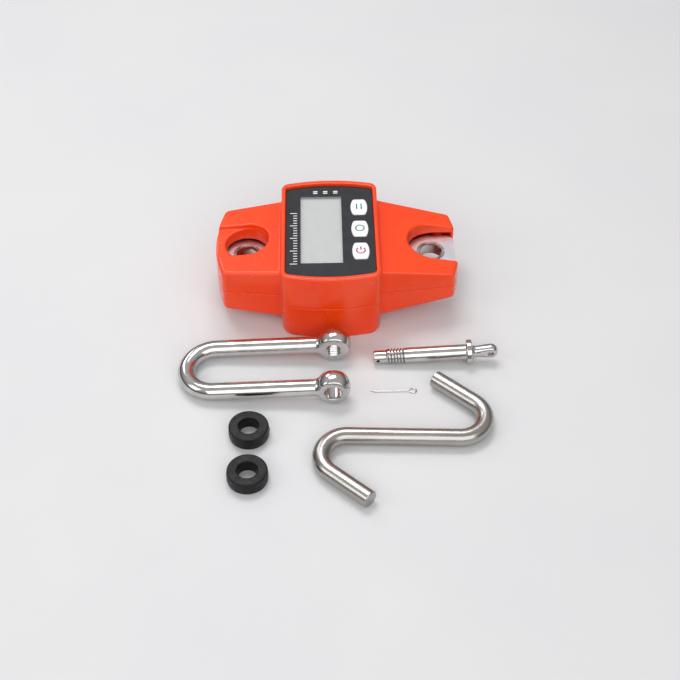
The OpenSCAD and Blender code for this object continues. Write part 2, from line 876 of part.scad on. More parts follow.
// Long U with a ball eye on each leg; one eye is clear and the other is threaded
module shackle() {
    straight = shackle_l - bow_bend_r;
    color(steel) translate([eye_x, (near_leg + far_leg) / 2, ball_d / 2]) rotate([0, -shackle_tilt, shackle_turn])
        difference() {
            union() {
                for (s = [-1, 1])
                    translate([0, s * bow_bend_r, 0]) {
                        bar_x(-straight, 0, rod_r);
                        rotate([90, 0, 0]) intersection() {
                            sphere(r = ball_d / 2, $fn = 96);
                            cube([ball_d + 2, ball_d + 2, ball_w], center = true);
                        }
                    }
                translate([-straight, 0, 0]) rotate([0, 0, 90]) rotate_extrude(angle = 180)
                    translate([bow_bend_r, 0]) circle(r = rod_r);
            }
            for (s = [-1, 1])
                translate([0, s * bow_bend_r, 0]) rotate([90, 0, 0])
                    cylinder(r = s > 0 ? thread_minor_d / 2 : clear_d / 2, h = 2 * ball_w, center = true);
        }
}

// Pin with a threaded tip, a flange and a flat lug with a hole
module shackle_pin() {
    neck_x = pin_l + flange_t;
    lug_x = neck_x + pin_neck + lug_l - lug_r;
    tip = pin_r - tip_r_less;
    neck_r = pin_r - pin_neck_less;
    rim_r = flange_d / 2;
    color(steel) translate([pin_x, pin_y, pin_z]) rotate([0, -pin_tilt, 0]) difference() {
        union() {
            rotate([0, 90, 0]) rotate_extrude() polygon([
                [0, 0], [tip - 1, 0], [tip, 1], [tip, pin_tip], [pin_r, thread_start], [pin_r, pin_l],
                [rim_r - flange_edge, pin_l], [rim_r, pin_l + flange_edge],
                [rim_r, neck_x - flange_edge], [rim_r - flange_edge, neck_x],
                [pin_r - 0.5, neck_x], [neck_r, neck_x + pin_neck],
                [neck_r, neck_x + pin_neck + 3], [0, neck_x + pin_neck + 3]
            ]);
            intersection() {
                union() {
                    translate([lug_x, 0, 0]) sphere(r = lug_r);
                    bar_x(neck_x + pin_neck, lug_x, lug_stem_r);
                }
                cube([4 * pin_l, lug_t, 4 * lug_r], center = true);
            }
        }
        translate([lug_x, 0, 0]) rotate([90, 0, 0]) cylinder(r = lug_hole_r, h = 2 * pin_d, center = true);
        translate([cotter_hole_x, 0, 0]) cylinder(r = cotter_hole_r, h = 2 * pin_d, center = true);
    }
}

// Split wire with a round loop at one end, one leg longer than the other
module cotter_pin() {
    side = wire_d / 2 + leg_gap;
    loop_x = cotter_l - loop_r - wire_d / 2;
    steps = 26;
    start = 180 - asin(side / loop_r);
    color(steel) translate([cotter_x, cotter_y, wire_d / 2]) wire(concat(
        [[0, side, 0], [loop_x / 2, side, 0], [loop_x - loop_r - 1.5, side, 0]],
        [
            for (k = [1 : steps - 1])
                let (a = start - 2 * start * k / steps)
                    [loop_x + loop_r * cos(a), loop_r * sin(a), 0]
        ],
        [[loop_x - loop_r - 1.5, -side, 0], [loop_x / 2, -side, 0], [short_leg, -side, 0]]
    ), wire_d / 2, 10);
}

// Thick rubber ring with a moulding line round its middle
module ring(i) {
    r1 = ring_bore / 2;
    r2 = ring_d / 2;
    side = r2 - ring_flash;
    low = ring_h / 2 - ring_flash_half;
    high = ring_h / 2 + ring_flash_half;
    color("#1d1e20") translate([ring_x, ring_y[i], 0]) rotate_extrude() polygon([
        [r1, bore_edge], [r1 + bore_edge, 0], [r2 - ring_edge[0], 0], [side, ring_edge[1]],
        [side, low], [r2, low], [r2, high], [side, high], [side, ring_h - ring_edge[1]],
        [r2 - ring_edge[0], ring_h], [r1 + bore_edge, ring_h], [r1, ring_h - bore_edge]
    ]);
}

module ring_one() {
    ring(0);
}

module ring_two() {
    ring(1);
}

// S of round rod: a straight middle, and at each end a bend and a straight tip
module s_hook() {
    chamfer = 0.6;
    seat = 0.2;                                       // how far each tip starts inside its bend
    color(steel) translate([hook_x, hook_y, hook_r]) rotate(hook_angle) {
        bar_x(-hook_mid_l / 2, hook_mid_l / 2, hook_r);
        for (a = [0, 180])
            rotate(a) translate([hook_mid_l / 2, hook_bend_r, 0]) {
                rotate(-90) rotate_extrude(angle = hook_turn) translate([hook_bend_r, 0]) circle(r = hook_r);
                rotate(hook_turn) translate([0, -hook_bend_r, 0]) {
                    bar_x(-seat, hook_tip_l - chamfer, tip_r);
                    translate([hook_tip_l - chamfer, 0, 0]) rotate([0, 90, 0])
                        cylinder(r1 = tip_r, r2 = tip_r - chamfer, h = chamfer);
                }
            }
    }
}

front_shell();
rear_shell();
case_screws();
load_cell();
shackle_eye_bush();
hook_eye_bush();
load_cell_screws();
strain_gauges();
gauge_lead();
display_panel();
display_window();
lcd_glass();
lcd_backlight();
lcd_frame();
main_board();
board_screws();
board_chips();
board_sockets();
key_switches();
buzzer();
key_hold();
key_tare();
key_power();
battery_one();
battery_two();
battery_three();
battery_springs();
battery_contacts();
battery_lead();
battery_cover();
shackle();
shackle_pin();
cotter_pin();
ring_one();
ring_two();
s_hook();
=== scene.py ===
import functools
import math

import bpy
import numpy as np
from mathutils import Matrix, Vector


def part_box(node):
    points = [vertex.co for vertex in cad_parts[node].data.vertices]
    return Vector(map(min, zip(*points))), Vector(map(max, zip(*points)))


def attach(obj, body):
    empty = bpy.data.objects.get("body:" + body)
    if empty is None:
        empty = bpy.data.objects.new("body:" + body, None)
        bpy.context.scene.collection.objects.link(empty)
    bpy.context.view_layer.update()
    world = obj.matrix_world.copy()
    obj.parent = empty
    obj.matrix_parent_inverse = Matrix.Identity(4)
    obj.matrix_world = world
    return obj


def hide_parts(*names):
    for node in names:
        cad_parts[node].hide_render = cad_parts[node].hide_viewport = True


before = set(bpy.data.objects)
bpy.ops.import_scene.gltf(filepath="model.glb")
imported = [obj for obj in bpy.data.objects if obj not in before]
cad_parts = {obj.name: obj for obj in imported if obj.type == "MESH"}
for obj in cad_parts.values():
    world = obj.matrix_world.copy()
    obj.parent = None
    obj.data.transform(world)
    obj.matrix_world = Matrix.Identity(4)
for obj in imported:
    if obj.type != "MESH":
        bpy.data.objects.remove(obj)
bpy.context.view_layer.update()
mm = 0.001
tau = 2 * math.pi


def mmBox(node):
    # lowest and highest corner of a CAD node, in millimetres
    low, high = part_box(node)
    return np.array(low) / mm, np.array(high) / mm


def hexColour(code):
    # sRGB hex to linear: the usual two-part curve
    srgb = np.array([int(code[i:i + 2], 16) for i in (1, 3, 5)]) / 255
    linear = np.where(srgb <= 0.04045, srgb / 12.92, ((srgb + 0.055) / 1.055) ** 2.4)
    return (*linear.tolist(), 1.0)


def addNode(tree, kind, settings, links=None):
    # one shader node: a capital or a number names a socket, anything else a property
    node = tree.nodes.new("ShaderNode" + kind)
    for name, value in settings.items():
        if isinstance(name, int) or name[0].isupper():
            node.inputs[name].default_value = value
        else:
            setattr(node, name, value)
    for name, source in (links or {}).items():
        tree.links.new(source, node.inputs[name])
    return node


def meshFromArrays(name, points, faces, normals=None):
    # points: n x 3 in mm; faces: a list of index arrays, each n x 3 or n x 4
    mesh = bpy.data.meshes.new(name)
    sizes = np.concatenate([np.full(len(f), f.shape[1]) for f in faces])
    corners = np.concatenate([f.ravel() for f in faces]).astype(np.int32)
    starts = np.concatenate([[0], np.cumsum(sizes)[:-1]]).astype(np.int32)
    mesh.vertices.add(len(points))
    mesh.vertices.foreach_set("co", (points * mm).astype(np.float32).ravel())
    mesh.loops.add(len(corners))
    mesh.loops.foreach_set("vertex_index", corners)
    mesh.polygons.add(len(sizes))
    mesh.polygons.foreach_set("loop_start", starts)
    mesh.polygons.foreach_set("use_smooth", np.ones(len(sizes), dtype=bool))
    mesh.update(calc_edges=True)
    mesh.validate()
    if normals is not None:
        mesh.normals_split_custom_set_from_vertices(normals.tolist())
    return mesh


def linkObject(name, data):
    # a new object in the scene, at the origin and unturned
    thing = bpy.data.objects.new(name, data)
    bpy.context.scene.collection.objects.link(thing)
    return thing


def makePiece(mesh, material, body, stands=()):
    # a finished piece: it rides on a CAD body, fills a material slot and stands in for CAD nodes
    piece = linkObject(mesh.name, mesh)
    mesh.materials.append(material)
    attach(piece, body)
    if stands:
        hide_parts(*stands)


def gridFaces(rings, around, closedPath, closedRound=True):
    # quads between neighbours on a rings x around grid, wrapping where it closes
    i = np.arange(rings if closedPath else rings - 1)[:, None]
    k = np.arange(around if closedRound else around - 1)[None, :]
    i2 = (i + 1) % rings
    k2 = (k + 1) % around
    corners = (i * around + k, i2 * around + k, i2 * around + k2, i * around + k2)
    quads = np.stack(np.broadcast_arrays(*corners), -1)
    return quads.reshape(-1, 4)


def capFaces(rings, around, first, last):
    # a fan to a middle point at each end; first and last are those points' numbers
    k = np.arange(around)
    k2 = (k + 1) % around
    start = np.stack([np.full(around, first), k, k2], -1)
    base = (rings - 1) * around
    end = np.stack([np.full(around, last), base + k2, base + k], -1)
    return np.concatenate([start, end])


def carryRound(path, radius, around):
    # A round profile carried along a level path:
    # point(i, a) = path(i) + radius(i) * (cos a * side + sin a * up)
    ahead = np.gradient(path, axis=0)
    ahead /= np.linalg.norm(ahead, axis=1, keepdims=True)
    up = np.array([0.0, 0.0, 1.0])
    side = np.cross(up, ahead)
    angle = np.arange(around) * tau / around
    radius = np.broadcast_to(radius, len(path))[:, None, None]
    ring = np.cos(angle)[None, :, None] * side[:, None, :] + np.sin(angle)[None, :, None] * up
    return path[:, None, :] + radius * ring


def roundJoin(a, b, r):
    # union of two fields, with a hollow fillet of radius r where they meet
    return np.maximum(r, np.minimum(a, b)) - np.hypot(np.maximum(r - a, 0), np.maximum(r - b, 0))


def roundMeet(a, b, r):
    # what is inside both fields, with their shared edge rounded to radius r
    return np.minimum(-r, np.maximum(a, b)) + np.hypot(np.maximum(r + a, 0), np.maximum(r + b, 0))


def boxField(x, y, z, low, high):
    # largest of the distances past a box's six sides
    past = (low[0] - x, x - high[0], low[1] - y, y - high[1], low[2] - z, z - high[2])
    return functools.reduce(np.maximum, past)


def gridLine(low, high, step, sharp=(), gap=0.12):
    # even steps, with a close pair of lines either side of each sharp face
    even = np.arange(low - 1.5 * step, high + 2 * step, step)
    close = np.array([value + side * gap for value in sharp for side in (-1, 1)])
    if len(close):
        apart = np.abs(even[:, None] - close[None, :]).min(axis=1)
        even = even[apart > 0.3 * step]
    return np.unique(np.concatenate([even, close]))


def slopeOf(field, p, h=0.03):
    # the field's slope at each point, by central differences
    steps = np.eye(3) * h
    return np.stack([(field(*(p + s).T) - field(*(p - s).T)) / (2 * h) for s in steps], -1)


def fieldMesh(name, field, xs, ys, zs, place=None):
    # Surface where the field is zero: one point in each cell that it crosses, at the mean of the
    # crossings of that cell's edges, then moved down the field's slope on to the surface.
    values = field(xs[:, None, None], ys[None, :, None], zs[None, None, :])
    inside = values < 0
    nx, ny, nz = inside.shape
    count = np.zeros((nx - 1, ny - 1, nz - 1), dtype=np.int8)
    corners = [(a, b, c) for a in (0, 1) for b in (0, 1) for c in (0, 1)]
    for a, b, c in corners:
        count += inside[a:nx - 1 + a, b:ny - 1 + b, c:nz - 1 + c]
    i, j, k = np.nonzero((count > 0) & (count < 8))
    number = np.full(count.shape, -1, dtype=np.int64)
    number[i, j, k] = np.arange(len(i))
    total = np.zeros((len(i), 3))
    hits = np.zeros(len(i))
    for near in corners:
        for axis in range(3):
            if near[axis]:
                continue
            far = tuple(near[n] + (n == axis) for n in range(3))
            a, b, c = i + near[0], j + near[1], k + near[2]
            d, e, f = i + far[0], j + far[1], k + far[2]
            start, end = values[a, b, c], values[d, e, f]
            crosses = (start < 0) != (end < 0)
            share = np.where(crosses, start / np.where(crosses, start - end, 1), 0)[:, None]
            p = np.stack([xs[a], ys[b], zs[c]], -1)
            q = np.stack([xs[d], ys[e], zs[f]], -1)
            total += crosses[:, None] * (p + share * (q - p))
            hits += crosses
    points = total / hits[:, None]
    cell = np.stack([xs[i + 1] - xs[i], ys[j + 1] - ys[j], zs[k + 1] - zs[k]], -1)
    for _ in range(3):
        slope = slopeOf(field, points)
        size = np.maximum((slope ** 2).sum(-1), 0.04)
        move = (field(*points.T) / size)[:, None] * slope
        points = points - np.clip(move, -0.5 * cell, 0.5 * cell)
    slope = slopeOf(field, points, 0.06)
    normals = slope / np.maximum(np.linalg.norm(slope, axis=1, keepdims=True), 1e-9)
    faces = []
    for axis in range(3):
        lowSide = [slice(1, n - 1) for n in (nx, ny, nz)]
        highSide = list(lowSide)
        lowSide[axis] = slice(0, -1)
        highSide[axis] = slice(1, None)
        start, end = inside[tuple(lowSide)], inside[tuple(highSide)]
        u, v = [(1, 2), (2, 0), (0, 1)][axis]
        at = np.array(np.nonzero(start != end))
        outward = start[tuple(at)]
        for n in (u, v):
            at[n] += 1
        ring = []
        for du, dv in ((-1, -1), (0, -1), (0, 0), (-1, 0)):
            spot = at.copy()
            spot[u] += du
            spot[v] += dv
            ring.append(number[tuple(spot)])
        quads = np.stack(ring, -1)
        faces.append(np.where(outward[:, None], quads, quads[:, ::-1]))
    if place:
        points, normals = place(points), place(normals, True)
    print(name, len(points), "points")
    return meshFromArrays(name, points, [np.concatenate(faces)], normals)


def finishNodes(name, look):
    # A whole finish from one dictionary, sizes in millimetres: a broad noise blends two tones, another
    # sets the gloss between two values, and a fine one raises the skin by its depth.
    # Each noise has a size, a detail and, where it isn't even, a stretch along each axis.
    material = bpy.data.materials.new(name)
    material.use_nodes = True
    tree = material.node_tree
    tree.nodes.clear()
    base = {"Metallic": look.get("metallic", 0), "IOR": look.get("ior", 1.5), **look.get("more", {})}
    shader = addNode(tree, "BsdfPrincipled", base)
    addNode(tree, "OutputMaterial", {}, {"Surface": shader.outputs[0]})
    if "map" in look:
        at = addNode(tree, "UVMap", {"uv_map": look["map"]}).outputs[0]
    else:
        place = addNode(tree, "TexCoord", {})
        inMm = {"Scale": (1 / mm,) * 3}
        at = addNode(tree, "Mapping", inMm, {"Vector": place.outputs["Object"]}).outputs[0]
    amount = {}
    for part in ("tone", "gloss", "skin"):
        size, detail, *stretch = look[part]
        scale = tuple(v / size for v in (stretch or (1, 1, 1)))
        close = addNode(tree, "Mapping", {"Scale": scale}, {"Vector": at})
        noise = addNode(tree, "TexNoise", {"Scale": 1.0, "Detail": detail, "Roughness": 0.55},
                        {"Vector": close.outputs[0]})
        amount[part] = noise.outputs["Fac"]
        if part != "skin":
            low, high = look["shine"] if part == "gloss" else (0, 1)
            evened = {"From Min": 0.3, "From Max": 0.7, "To Min": low, "To Max": high}
            amount[part] = addNode(tree, "MapRange", evened, {"Value": amount[part]}).outputs[0]
    tones = {"data_type": "RGBA", 6: hexColour(look["tones"][0]), 7: hexColour(look["tones"][1])}
    blend = addNode(tree, "Mix", tones, {0: amount["tone"]})
    bump = addNode(tree, "Bump", {"Distance": look["depth"] * mm, "Strength": 1.0},
                   {"Height": amount["skin"]})
    tree.links.new(blend.outputs[2], shader.inputs["Base Color"])
    tree.links.new(amount["gloss"], shader.inputs["Roughness"])
    tree.links.new(bump.outputs[0], shader.inputs["Normal"])
    return material, tree, {"shader": shader, "at": at, "blend": blend, "bump": bump}


def finishMaterial(name, look):
    # the finish as it is, for materials that need no more nodes
    return finishNodes(name, look)[0]


def overlay(tree, part, code, amount):
    # a further colour laid over a finish's own, as far as amount says
    over = addNode(tree, "Mix", {"data_type": "RGBA", 7: hexColour(code)},
                   {0: amount, 6: part["blend"].outputs[2]})
    tree.links.new(over.outputs[2], part["shader"].inputs["Base Color"])


# Injection-moulded ABS from a spark-eroded tool: satin gloss, a fine even grain, faint flow shading
orangeAbs = finishMaterial("moulded_abs_orange", {
    "tones": ("#fb4005", "#ff480a"), "shine": (0.22, 0.28), "ior": 1.53, "depth": 0.005,
    "tone": (34, 2, 1, 1, 0.5), "gloss": (7, 3), "skin": (0.6, 2),
})

# Back-printed acrylic panel: glossy near-black, hair-fine wiping marks in its gloss
panelAcrylic = finishMaterial("printed_acrylic_black", {
    "tones": ("#26272b", "#303136"), "shine": (0.14, 0.26), "ior": 1.49, "depth": 0.015,
    "tone": (12, 5), "gloss": (3, 4, 0.25, 3, 1), "skin": (20, 1),
})

# Clear cast acrylic window: seen through by its low alpha, with a hard coat's faint reflection
windowAcrylic = finishMaterial("clear_acrylic", {
    "tones": ("#eef1f2", "#f7f9fa"), "shine": (0.03, 0.08), "ior": 1.49, "depth": 0.004,
    "tone": (9, 2), "gloss": (6, 4), "skin": (14, 1), "more": {"Alpha": 0.14},
})

# LCD glass under its polariser: flat warm grey, faint film grain
polariser = finishMaterial("polariser_film", {
    "tones": ("#bbbcbb", "#c1c2c1"), "shine": (0.36, 0.46), "depth": 0.003,
    "tone": (5, 3, 1, 0.3, 1), "gloss": (5, 3), "skin": (0.5, 1),
})

# Hard-coated white silicone key: soft satin, a light handling haze
keyWhite = finishMaterial("coated_key_white", {
    "tones": ("#f1f2f5", "#fafbfc"), "shine": (0.32, 0.46), "ior": 1.45, "depth": 0.008,
    "tone": (4, 3), "gloss": (4, 3), "skin": (0.5, 2),
})

# Hot-forged stainless, tumbled and buffed: bright, faint forging swell, fine buffing haze
polished = finishMaterial("polished_forged_stainless", {
    "tones": ("#c2c0be", "#d2d0ce"), "shine": (0.07, 0.18), "metallic": 1, "depth": 0.06,
    "tone": (9, 2), "gloss": (2.5, 5, 0.35, 1, 1), "skin": (7, 2),
})

# Cold-drawn stainless bar, brushed lengthwise: hairlines run along the rod and stretch its highlight.
# Real hairlines are about 0.1 mm apart; these are drawn at 0.45 mm so that they show.
drawn = finishMaterial("drawn_stainless", {
    "tones": ("#a19d99", "#bdb9b5"), "shine": (0.18, 0.34), "metallic": 1, "depth": 0.035, "map": "rodMap",
    "tone": (3, 3, 1, 0.04, 1), "gloss": (0.9, 4, 1, 0.03, 1), "skin": (0.45, 4, 1, 0.012, 1),
})

# Milled aluminium alloy plate: pale grey-violet, straight cutter lines 0.8 mm apart
milled = finishMaterial("milled_alloy", {
    "tones": ("#cac6cd", "#dad7dc"), "shine": (0.3, 0.44), "metallic": 1, "depth": 0.02,
    "tone": (9, 3), "gloss": (0.8, 3, 0.05, 1, 1), "skin": (0.8, 3, 0.05, 1, 1),
})

# Turned steel bush: tool marks run round it; real ones are 0.1 mm apart, these 0.4 mm so that they show
turned = finishMaterial("turned_steel", {
    "tones": ("#c4c1be", "#dddad8"), "shine": (0.10, 0.22),
    "metallic": 1, "depth": 0.012, "map": "latheMap",
    "tone": (1.2, 2, 0.03, 1, 1), "gloss": (0.6, 3, 0.02, 1, 1), "skin": (0.4, 2, 0.01, 1, 1),
})

# Bright zinc plating on a cold-headed screw: cool grey with an uneven, faintly blue film
zinc = finishMaterial("zinc_plated_steel", {
    "tones": ("#9da2aa", "#bbbcbc"), "shine": (0.22, 0.42), "metallic": 1, "depth": 0.01,
    "tone": (1.6, 4), "gloss": (1.6, 4), "skin": (0.5, 2),
})

# Rolled nickel-plated strip and wire: warm, rolling lines along Z
nickel = finishMaterial("nickel_plated_strip", {
    "tones": ("#c2bcae", "#d0cabd"), "shine": (0.18, 0.36), "metallic": 1, "depth": 0.01,
    "tone": (4, 2), "gloss": (0.5, 3, 1, 1, 0.06), "skin": (0.5, 3, 1, 1, 0.06),
})

# Transfer-moulded epoxy of chips, buzzer and switches: dull charcoal, fine blasted skin
epoxy = finishMaterial("moulded_epoxy", {
    "tones": ("#1f2123", "#2a2c2f"), "shine": (0.45, 0.58), "ior": 1.55, "depth": 0.01,
    "tone": (8, 3), "gloss": (3, 3), "skin": (0.5, 2),
})

# Moulded acrylic light guide behind the LCD: milky white, glossy
lightGuide = finishMaterial("light_guide", {
    "tones": ("#e2e5e2", "#eceeea"), "shine": (0.15, 0.28), "ior": 1.49, "depth": 0.006,
    "tone": (8, 3), "gloss": (6, 3), "skin": (0.6, 2),
})

# Pressed tinplate frame, painted grey: a light orange-peel
tinFrame = finishMaterial("painted_tinplate", {
    "tones": ("#4d5054", "#5b5e62"), "shine": (0.40, 0.52), "depth": 0.02,
    "tone": (8, 3), "gloss": (5, 3), "skin": (1.1, 2),
})

# Injection-moulded nylon sockets: cream, waxy
nylon = finishMaterial("moulded_nylon_cream", {
    "tones": ("#e3dbc8", "#efe8d8"), "shine": (0.45, 0.58), "ior": 1.53, "depth": 0.01,
    "tone": (6, 3), "gloss": (4, 3), "skin": (0.5, 2),
})

# Extruded PVC sheaths: plain colour, faint ripples across the lead from the die
sheath = {"shine": (0.36, 0.52), "ior": 1.54, "depth": 0.03,
          "tone": (5, 2), "gloss": (1.2, 3, 1, 1, 2), "skin": (1.2, 3, 1, 1, 2)}
greySheath = finishMaterial("pvc_sheath_grey", {"tones": ("#454649", "#4f5053"), **sheath})
redSheath = finishMaterial("pvc_sheath_red", {"tones": ("#9a211c", "#ab2a23"), **sheath})

# Pad-printed inks: flat colour with a slightly ragged film
ink = {"shine": (0.42, 0.6), "ior": 1.48, "depth": 0.008,
       "tone": (2, 2), "gloss": (0.8, 3), "skin": (0.8, 3)}
inkWhite = finishMaterial("pad_ink_white", {"tones": ("#f2f3f4", "#f7f8f9"), **ink})
keyInks = {
    "key_hold": finishMaterial("pad_ink_teal", {"tones": ("#2d8d9b", "#3a9ba8"), **ink}),
    "key_tare": finishMaterial("pad_ink_green", {"tones": ("#5d8d78", "#6b9a86"), **ink}),
    "key_power": finishMaterial("pad_ink_red", {"tones": ("#c2385f", "#cf4a70"), **ink}),
}


def mouldedRubber():
    # Compression-moulded black rubber: half-matt, with open pores about 1 mm apart and a pale bloom
    material, tree, part = finishNodes("moulded_rubber", {
        "tones": ("#050608", "#0f1014"), "shine": (0.26, 0.55), "ior": 1.52, "depth": 0.16,
        "tone": (5, 5), "gloss": (4, 5), "skin": (0.9, 4),
        "more": {"Specular IOR Level": 0.28},
    })
    pores = addNode(tree, "TexVoronoi", {"Scale": 1.0}, {"Vector": part["at"]})
    pitted = addNode(tree, "Bump", {"Distance": 0.2 * mm, "Strength": 0.8},
                     {"Height": pores.outputs["Distance"], "Normal": part["bump"].outputs[0]})
    tree.links.new(pitted.outputs[0], part["shader"].inputs["Normal"])
    return material


def gaugeFoil():
    # Polyimide strain gauge: amber film over a foil grid; real lines are finer, these are 0.8 mm apart
    material, tree, part = finishNodes("polyimide_gauge", {
        "tones": ("#b07a2a", "#c08c3c"), "shine": (0.3, 0.42), "ior": 1.6, "depth": 0.01,
        "tone": (2, 2), "gloss": (1, 3), "skin": (0.5, 2),
    })
    bands = {"bands_direction": "Z", "Scale": 0.4}
    grid = addNode(tree, "TexWave", bands, {"Vector": part["at"]})
    overlay(tree, part, "#6f6758", grid.outputs["Fac"])
    return material


def solderMask():
    # Green solder mask over copper: lighter where the tracks run beneath it, 2.5 mm apart
    material, tree, part = finishNodes("solder_mask_green", {
        "tones": ("#195a33", "#1f693d"), "shine": (0.22, 0.36), "ior": 1.55, "depth": 0.02,
        "tone": (7, 2), "gloss": (3, 3), "skin": (1.4, 2),
    })
    layout = {"Scale": 1.0, "Brick Width": 9.0, "Row Height": 2.5, "Mortar Size": 0.35}
    tracks = addNode(tree, "TexBrick", layout, {"Vector": part["at"]})
    overlay(tree, part, "#2c8450", tracks.outputs["Fac"])
    return material


def shrinkJacket():
    # Printed shrink sleeve of a dry cell: blue film with a pale band past 8 mm along X
    material, tree, part = finishNodes("printed_sleeve", {
        "tones": ("#2b5a94", "#3465a1"), "shine": (0.18, 0.34), "depth": 0.03,
        "tone": (9, 2), "gloss": (5, 3), "skin": (2.5, 2),
    })
    axes = addNode(tree, "SeparateXYZ", {}, {0: part["at"]})
    ends = {"From Min": 8.0, "From Max": 8.2, "To Min": 0.0, "To Max": 1.0}
    band = addNode(tree, "MapRange", ends, {"Value": axes.outputs[0]})
    overlay(tree, part, "#d7d9dc", band.outputs[0])
    return material


sleeve = shrinkJacket()
cadLooks = {
    "case_screws": zinc, "load_cell_screws": zinc, "board_screws": zinc,
    "load_cell": milled,
    "strain_gauges": gaugeFoil(),
    "gauge_lead": greySheath, "battery_lead": redSheath,
    "display_panel": panelAcrylic, "display_window": windowAcrylic,
    "lcd_glass": polariser, "lcd_backlight": lightGuide, "lcd_frame": tinFrame,
    "main_board": solderMask(),
    "board_chips": epoxy, "buzzer": epoxy, "key_switches": epoxy,
    "board_sockets": nylon,
    "battery_one": sleeve, "battery_two": sleeve, "battery_three": sleeve,
    "battery_springs": nickel, "battery_contacts": nickel,
    "battery_cover": orangeAbs,
}
for nodeName, look in cadLooks.items():
    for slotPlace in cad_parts[nodeName].material_slots:
        slotPlace.material = look
print("materials done")

caseLow, caseHigh = mmBox("front_shell")
coverLow, coverHigh = mmBox("battery_cover")
panelLow, panelHigh = mmBox("display_panel")
glassLow, glassHigh = mmBox("lcd_glass")
cellLow, cellHigh = mmBox("load_cell")

case = {
    "wall": 2.8, "bow": 5.0,
    "cornerR": 5.0, "cornerGrow": 4.0, "growFrom": 24.0,   # upright corners, rounder towards the back
    "topEdge": 1.5, "footEdge": 1.5,
    "wingWidth": 86.4, "wingThick": 46.0, "taper": 0.128, "shackleSlope": 0.09, "hookSlope": 0.18,
    "wingEdge": 2.6, "wingRoot": 1.6,
    "wingInBlock": 18.0, "shackleBow": 6.4, "hookCut": 4.3, "hookCutEdge": 2.0, "tipIn": 1.0,
    "innerCorner": 3.6, "innerEdge": 1.0,                  # roundings of the space inside the walls
    "pocketR": 16.5, "pocketRim": 1.7,
    "channelHalf": 17.2, "channelDeep": 3.5, "channelRim": 1.2,
    "slotHalf": 19.3, "slotBack": 0.7, "slotRim": 1.7,
    "cellGap": 1.6, "deck": 2.4,
    "rimSide": 3.8, "rimEnd": 4.8, "fit": 0.5, "recessCorner": 3.0, "glassGap": 1.1, "keyGap": 0.25,
    "screwR": 1.5, "screwSeat": 11.5, "screwHeadR": 2.75, "boss": 3.2, "rearBoss": 4.2, "pilot": 10.0,
    "headGap": 0.35, "shankGap": 0.2, "screwEdge": 0.4,
    "postIn": 2.0, "postHalf": 8.0, "postR": 4.5, "postHoleR": 2.0, "postHole": 16.5,
    "boxX": -27.5, "boxL": 56.3, "boxHalf": 23.6, "boxTop": 18.4, "boxWall": 2.0,
    "coverGap": 0.2, "tongue": 1.4, "tongueT": 1.0, "tongueShort": 3.0, "bed": 5.0, "bedRim": 4.0,
    "openEdge": 0.2, "past": 5.0,            # how far a cut runs out past the outside
    "screwIn": (12.4, 13.3, 15.2), "blockScrewIn": (6.5, 6.3),
    "rimEdge": 0.8, "partingEdge": 0.5, "partingGap": 0.2,
    "step": 1.0,
}
split = caseLow[2]
deckLow = panelLow[2] - case["deck"]
halfW = -coverLow[0]
bowR = (halfW ** 2 + case["bow"] ** 2) / (2 * case["bow"])
bowY = caseHigh[1] - bowR
wingEndHalf = case["wingWidth"] / 2 - case["taper"] * (-caseLow[0] - halfW - case["shackleBow"])
wingEndR = (wingEndHalf ** 2 + case["shackleBow"] ** 2) / (2 * case["shackleBow"])
shackleEye, hookEye = (sum(mmBox(end + "_eye_bush"))[0] / 2 for end in ("shackle", "hook"))
sideSlant = math.hypot(1, case["taper"])
wingScrewY = case["wingWidth"] / 2 - case["screwIn"][2]
blockScrewY = caseHigh[1] - case["bow"] - case["blockScrewIn"][1]
screwSpots = [
    (caseLow[0] + case["screwIn"][0], wingScrewY), (caseHigh[0] - case["screwIn"][1], wingScrewY),
    (case["blockScrewIn"][0] - halfW, blockScrewY), (halfW - case["blockScrewIn"][0], blockScrewY),
]
keyNames = ["key_hold", "key_tare", "key_power"]


def bowedPlan(x, y, side, end, cornerR):
    # block seen from above: two straight sides, two arcs of radius bowR, all drawn in
    return roundMeet(np.abs(x) - (halfW - side), np.hypot(x, np.abs(y) - bowY) - (bowR - end), cornerR)


def wingFace(x, z, deep):
    # distance past a wing's two broad faces, which draw in by slope with distance from the block
    slope = np.where(x < 0, case["shackleSlope"], case["hookSlope"])
    half = case["wingThick"] / 2 - slope * (np.abs(x) - halfW)
    return (np.abs(z - split) - half + deep) / np.hypot(1, slope)


def wingField(x, y, z, sign, deep, edge):
    # a wing: tapering sides, sloping faces, and a bowed end or an end with two cut corners
    out = sign * x - halfW
    side = (np.abs(y) - (case["wingWidth"] / 2 - case["taper"] * out) + deep) / sideSlant
    if sign < 0:
        end = np.hypot(x - (caseLow[0] + wingEndR), y) - (wingEndR - deep)
    else:
        tipHalf = case["slotHalf"] - case["tipIn"]
        cutHalf = case["wingWidth"] / 2 - case["taper"] * (caseHigh[0] - case["hookCut"] - halfW)
        rise = cutHalf - tipHalf
        cut = (x - caseHigh[0]) * rise + (np.abs(y) - tipHalf) * case["hookCut"]
        cut = cut / math.hypot(rise, case["hookCut"])
        end = roundMeet(x - caseHigh[0], cut, case["hookCutEdge"]) + deep
    sides = roundMeet(roundMeet(side, wingFace(x, z, deep), edge), end, edge)
    return np.maximum(sides, -out - case["wingInBlock"])


def channelField(x, y, z, half, deep, rim):
    # shallow channel from the pocket to the shackle end, cut into both faces
    plan = np.where(x < shackleEye, np.abs(y) - half, np.hypot(x - shackleEye, y) - half)
    return roundMeet(plan, -wingFace(x, z, deep), rim)


def slotPlan(x, y):
    # open slot at the hook end: a half circle and two straight sides
    middle = hookEye + case["slotBack"]
    return np.where(x > middle, np.abs(y), np.hypot(x - middle, y)) - case["slotHalf"]


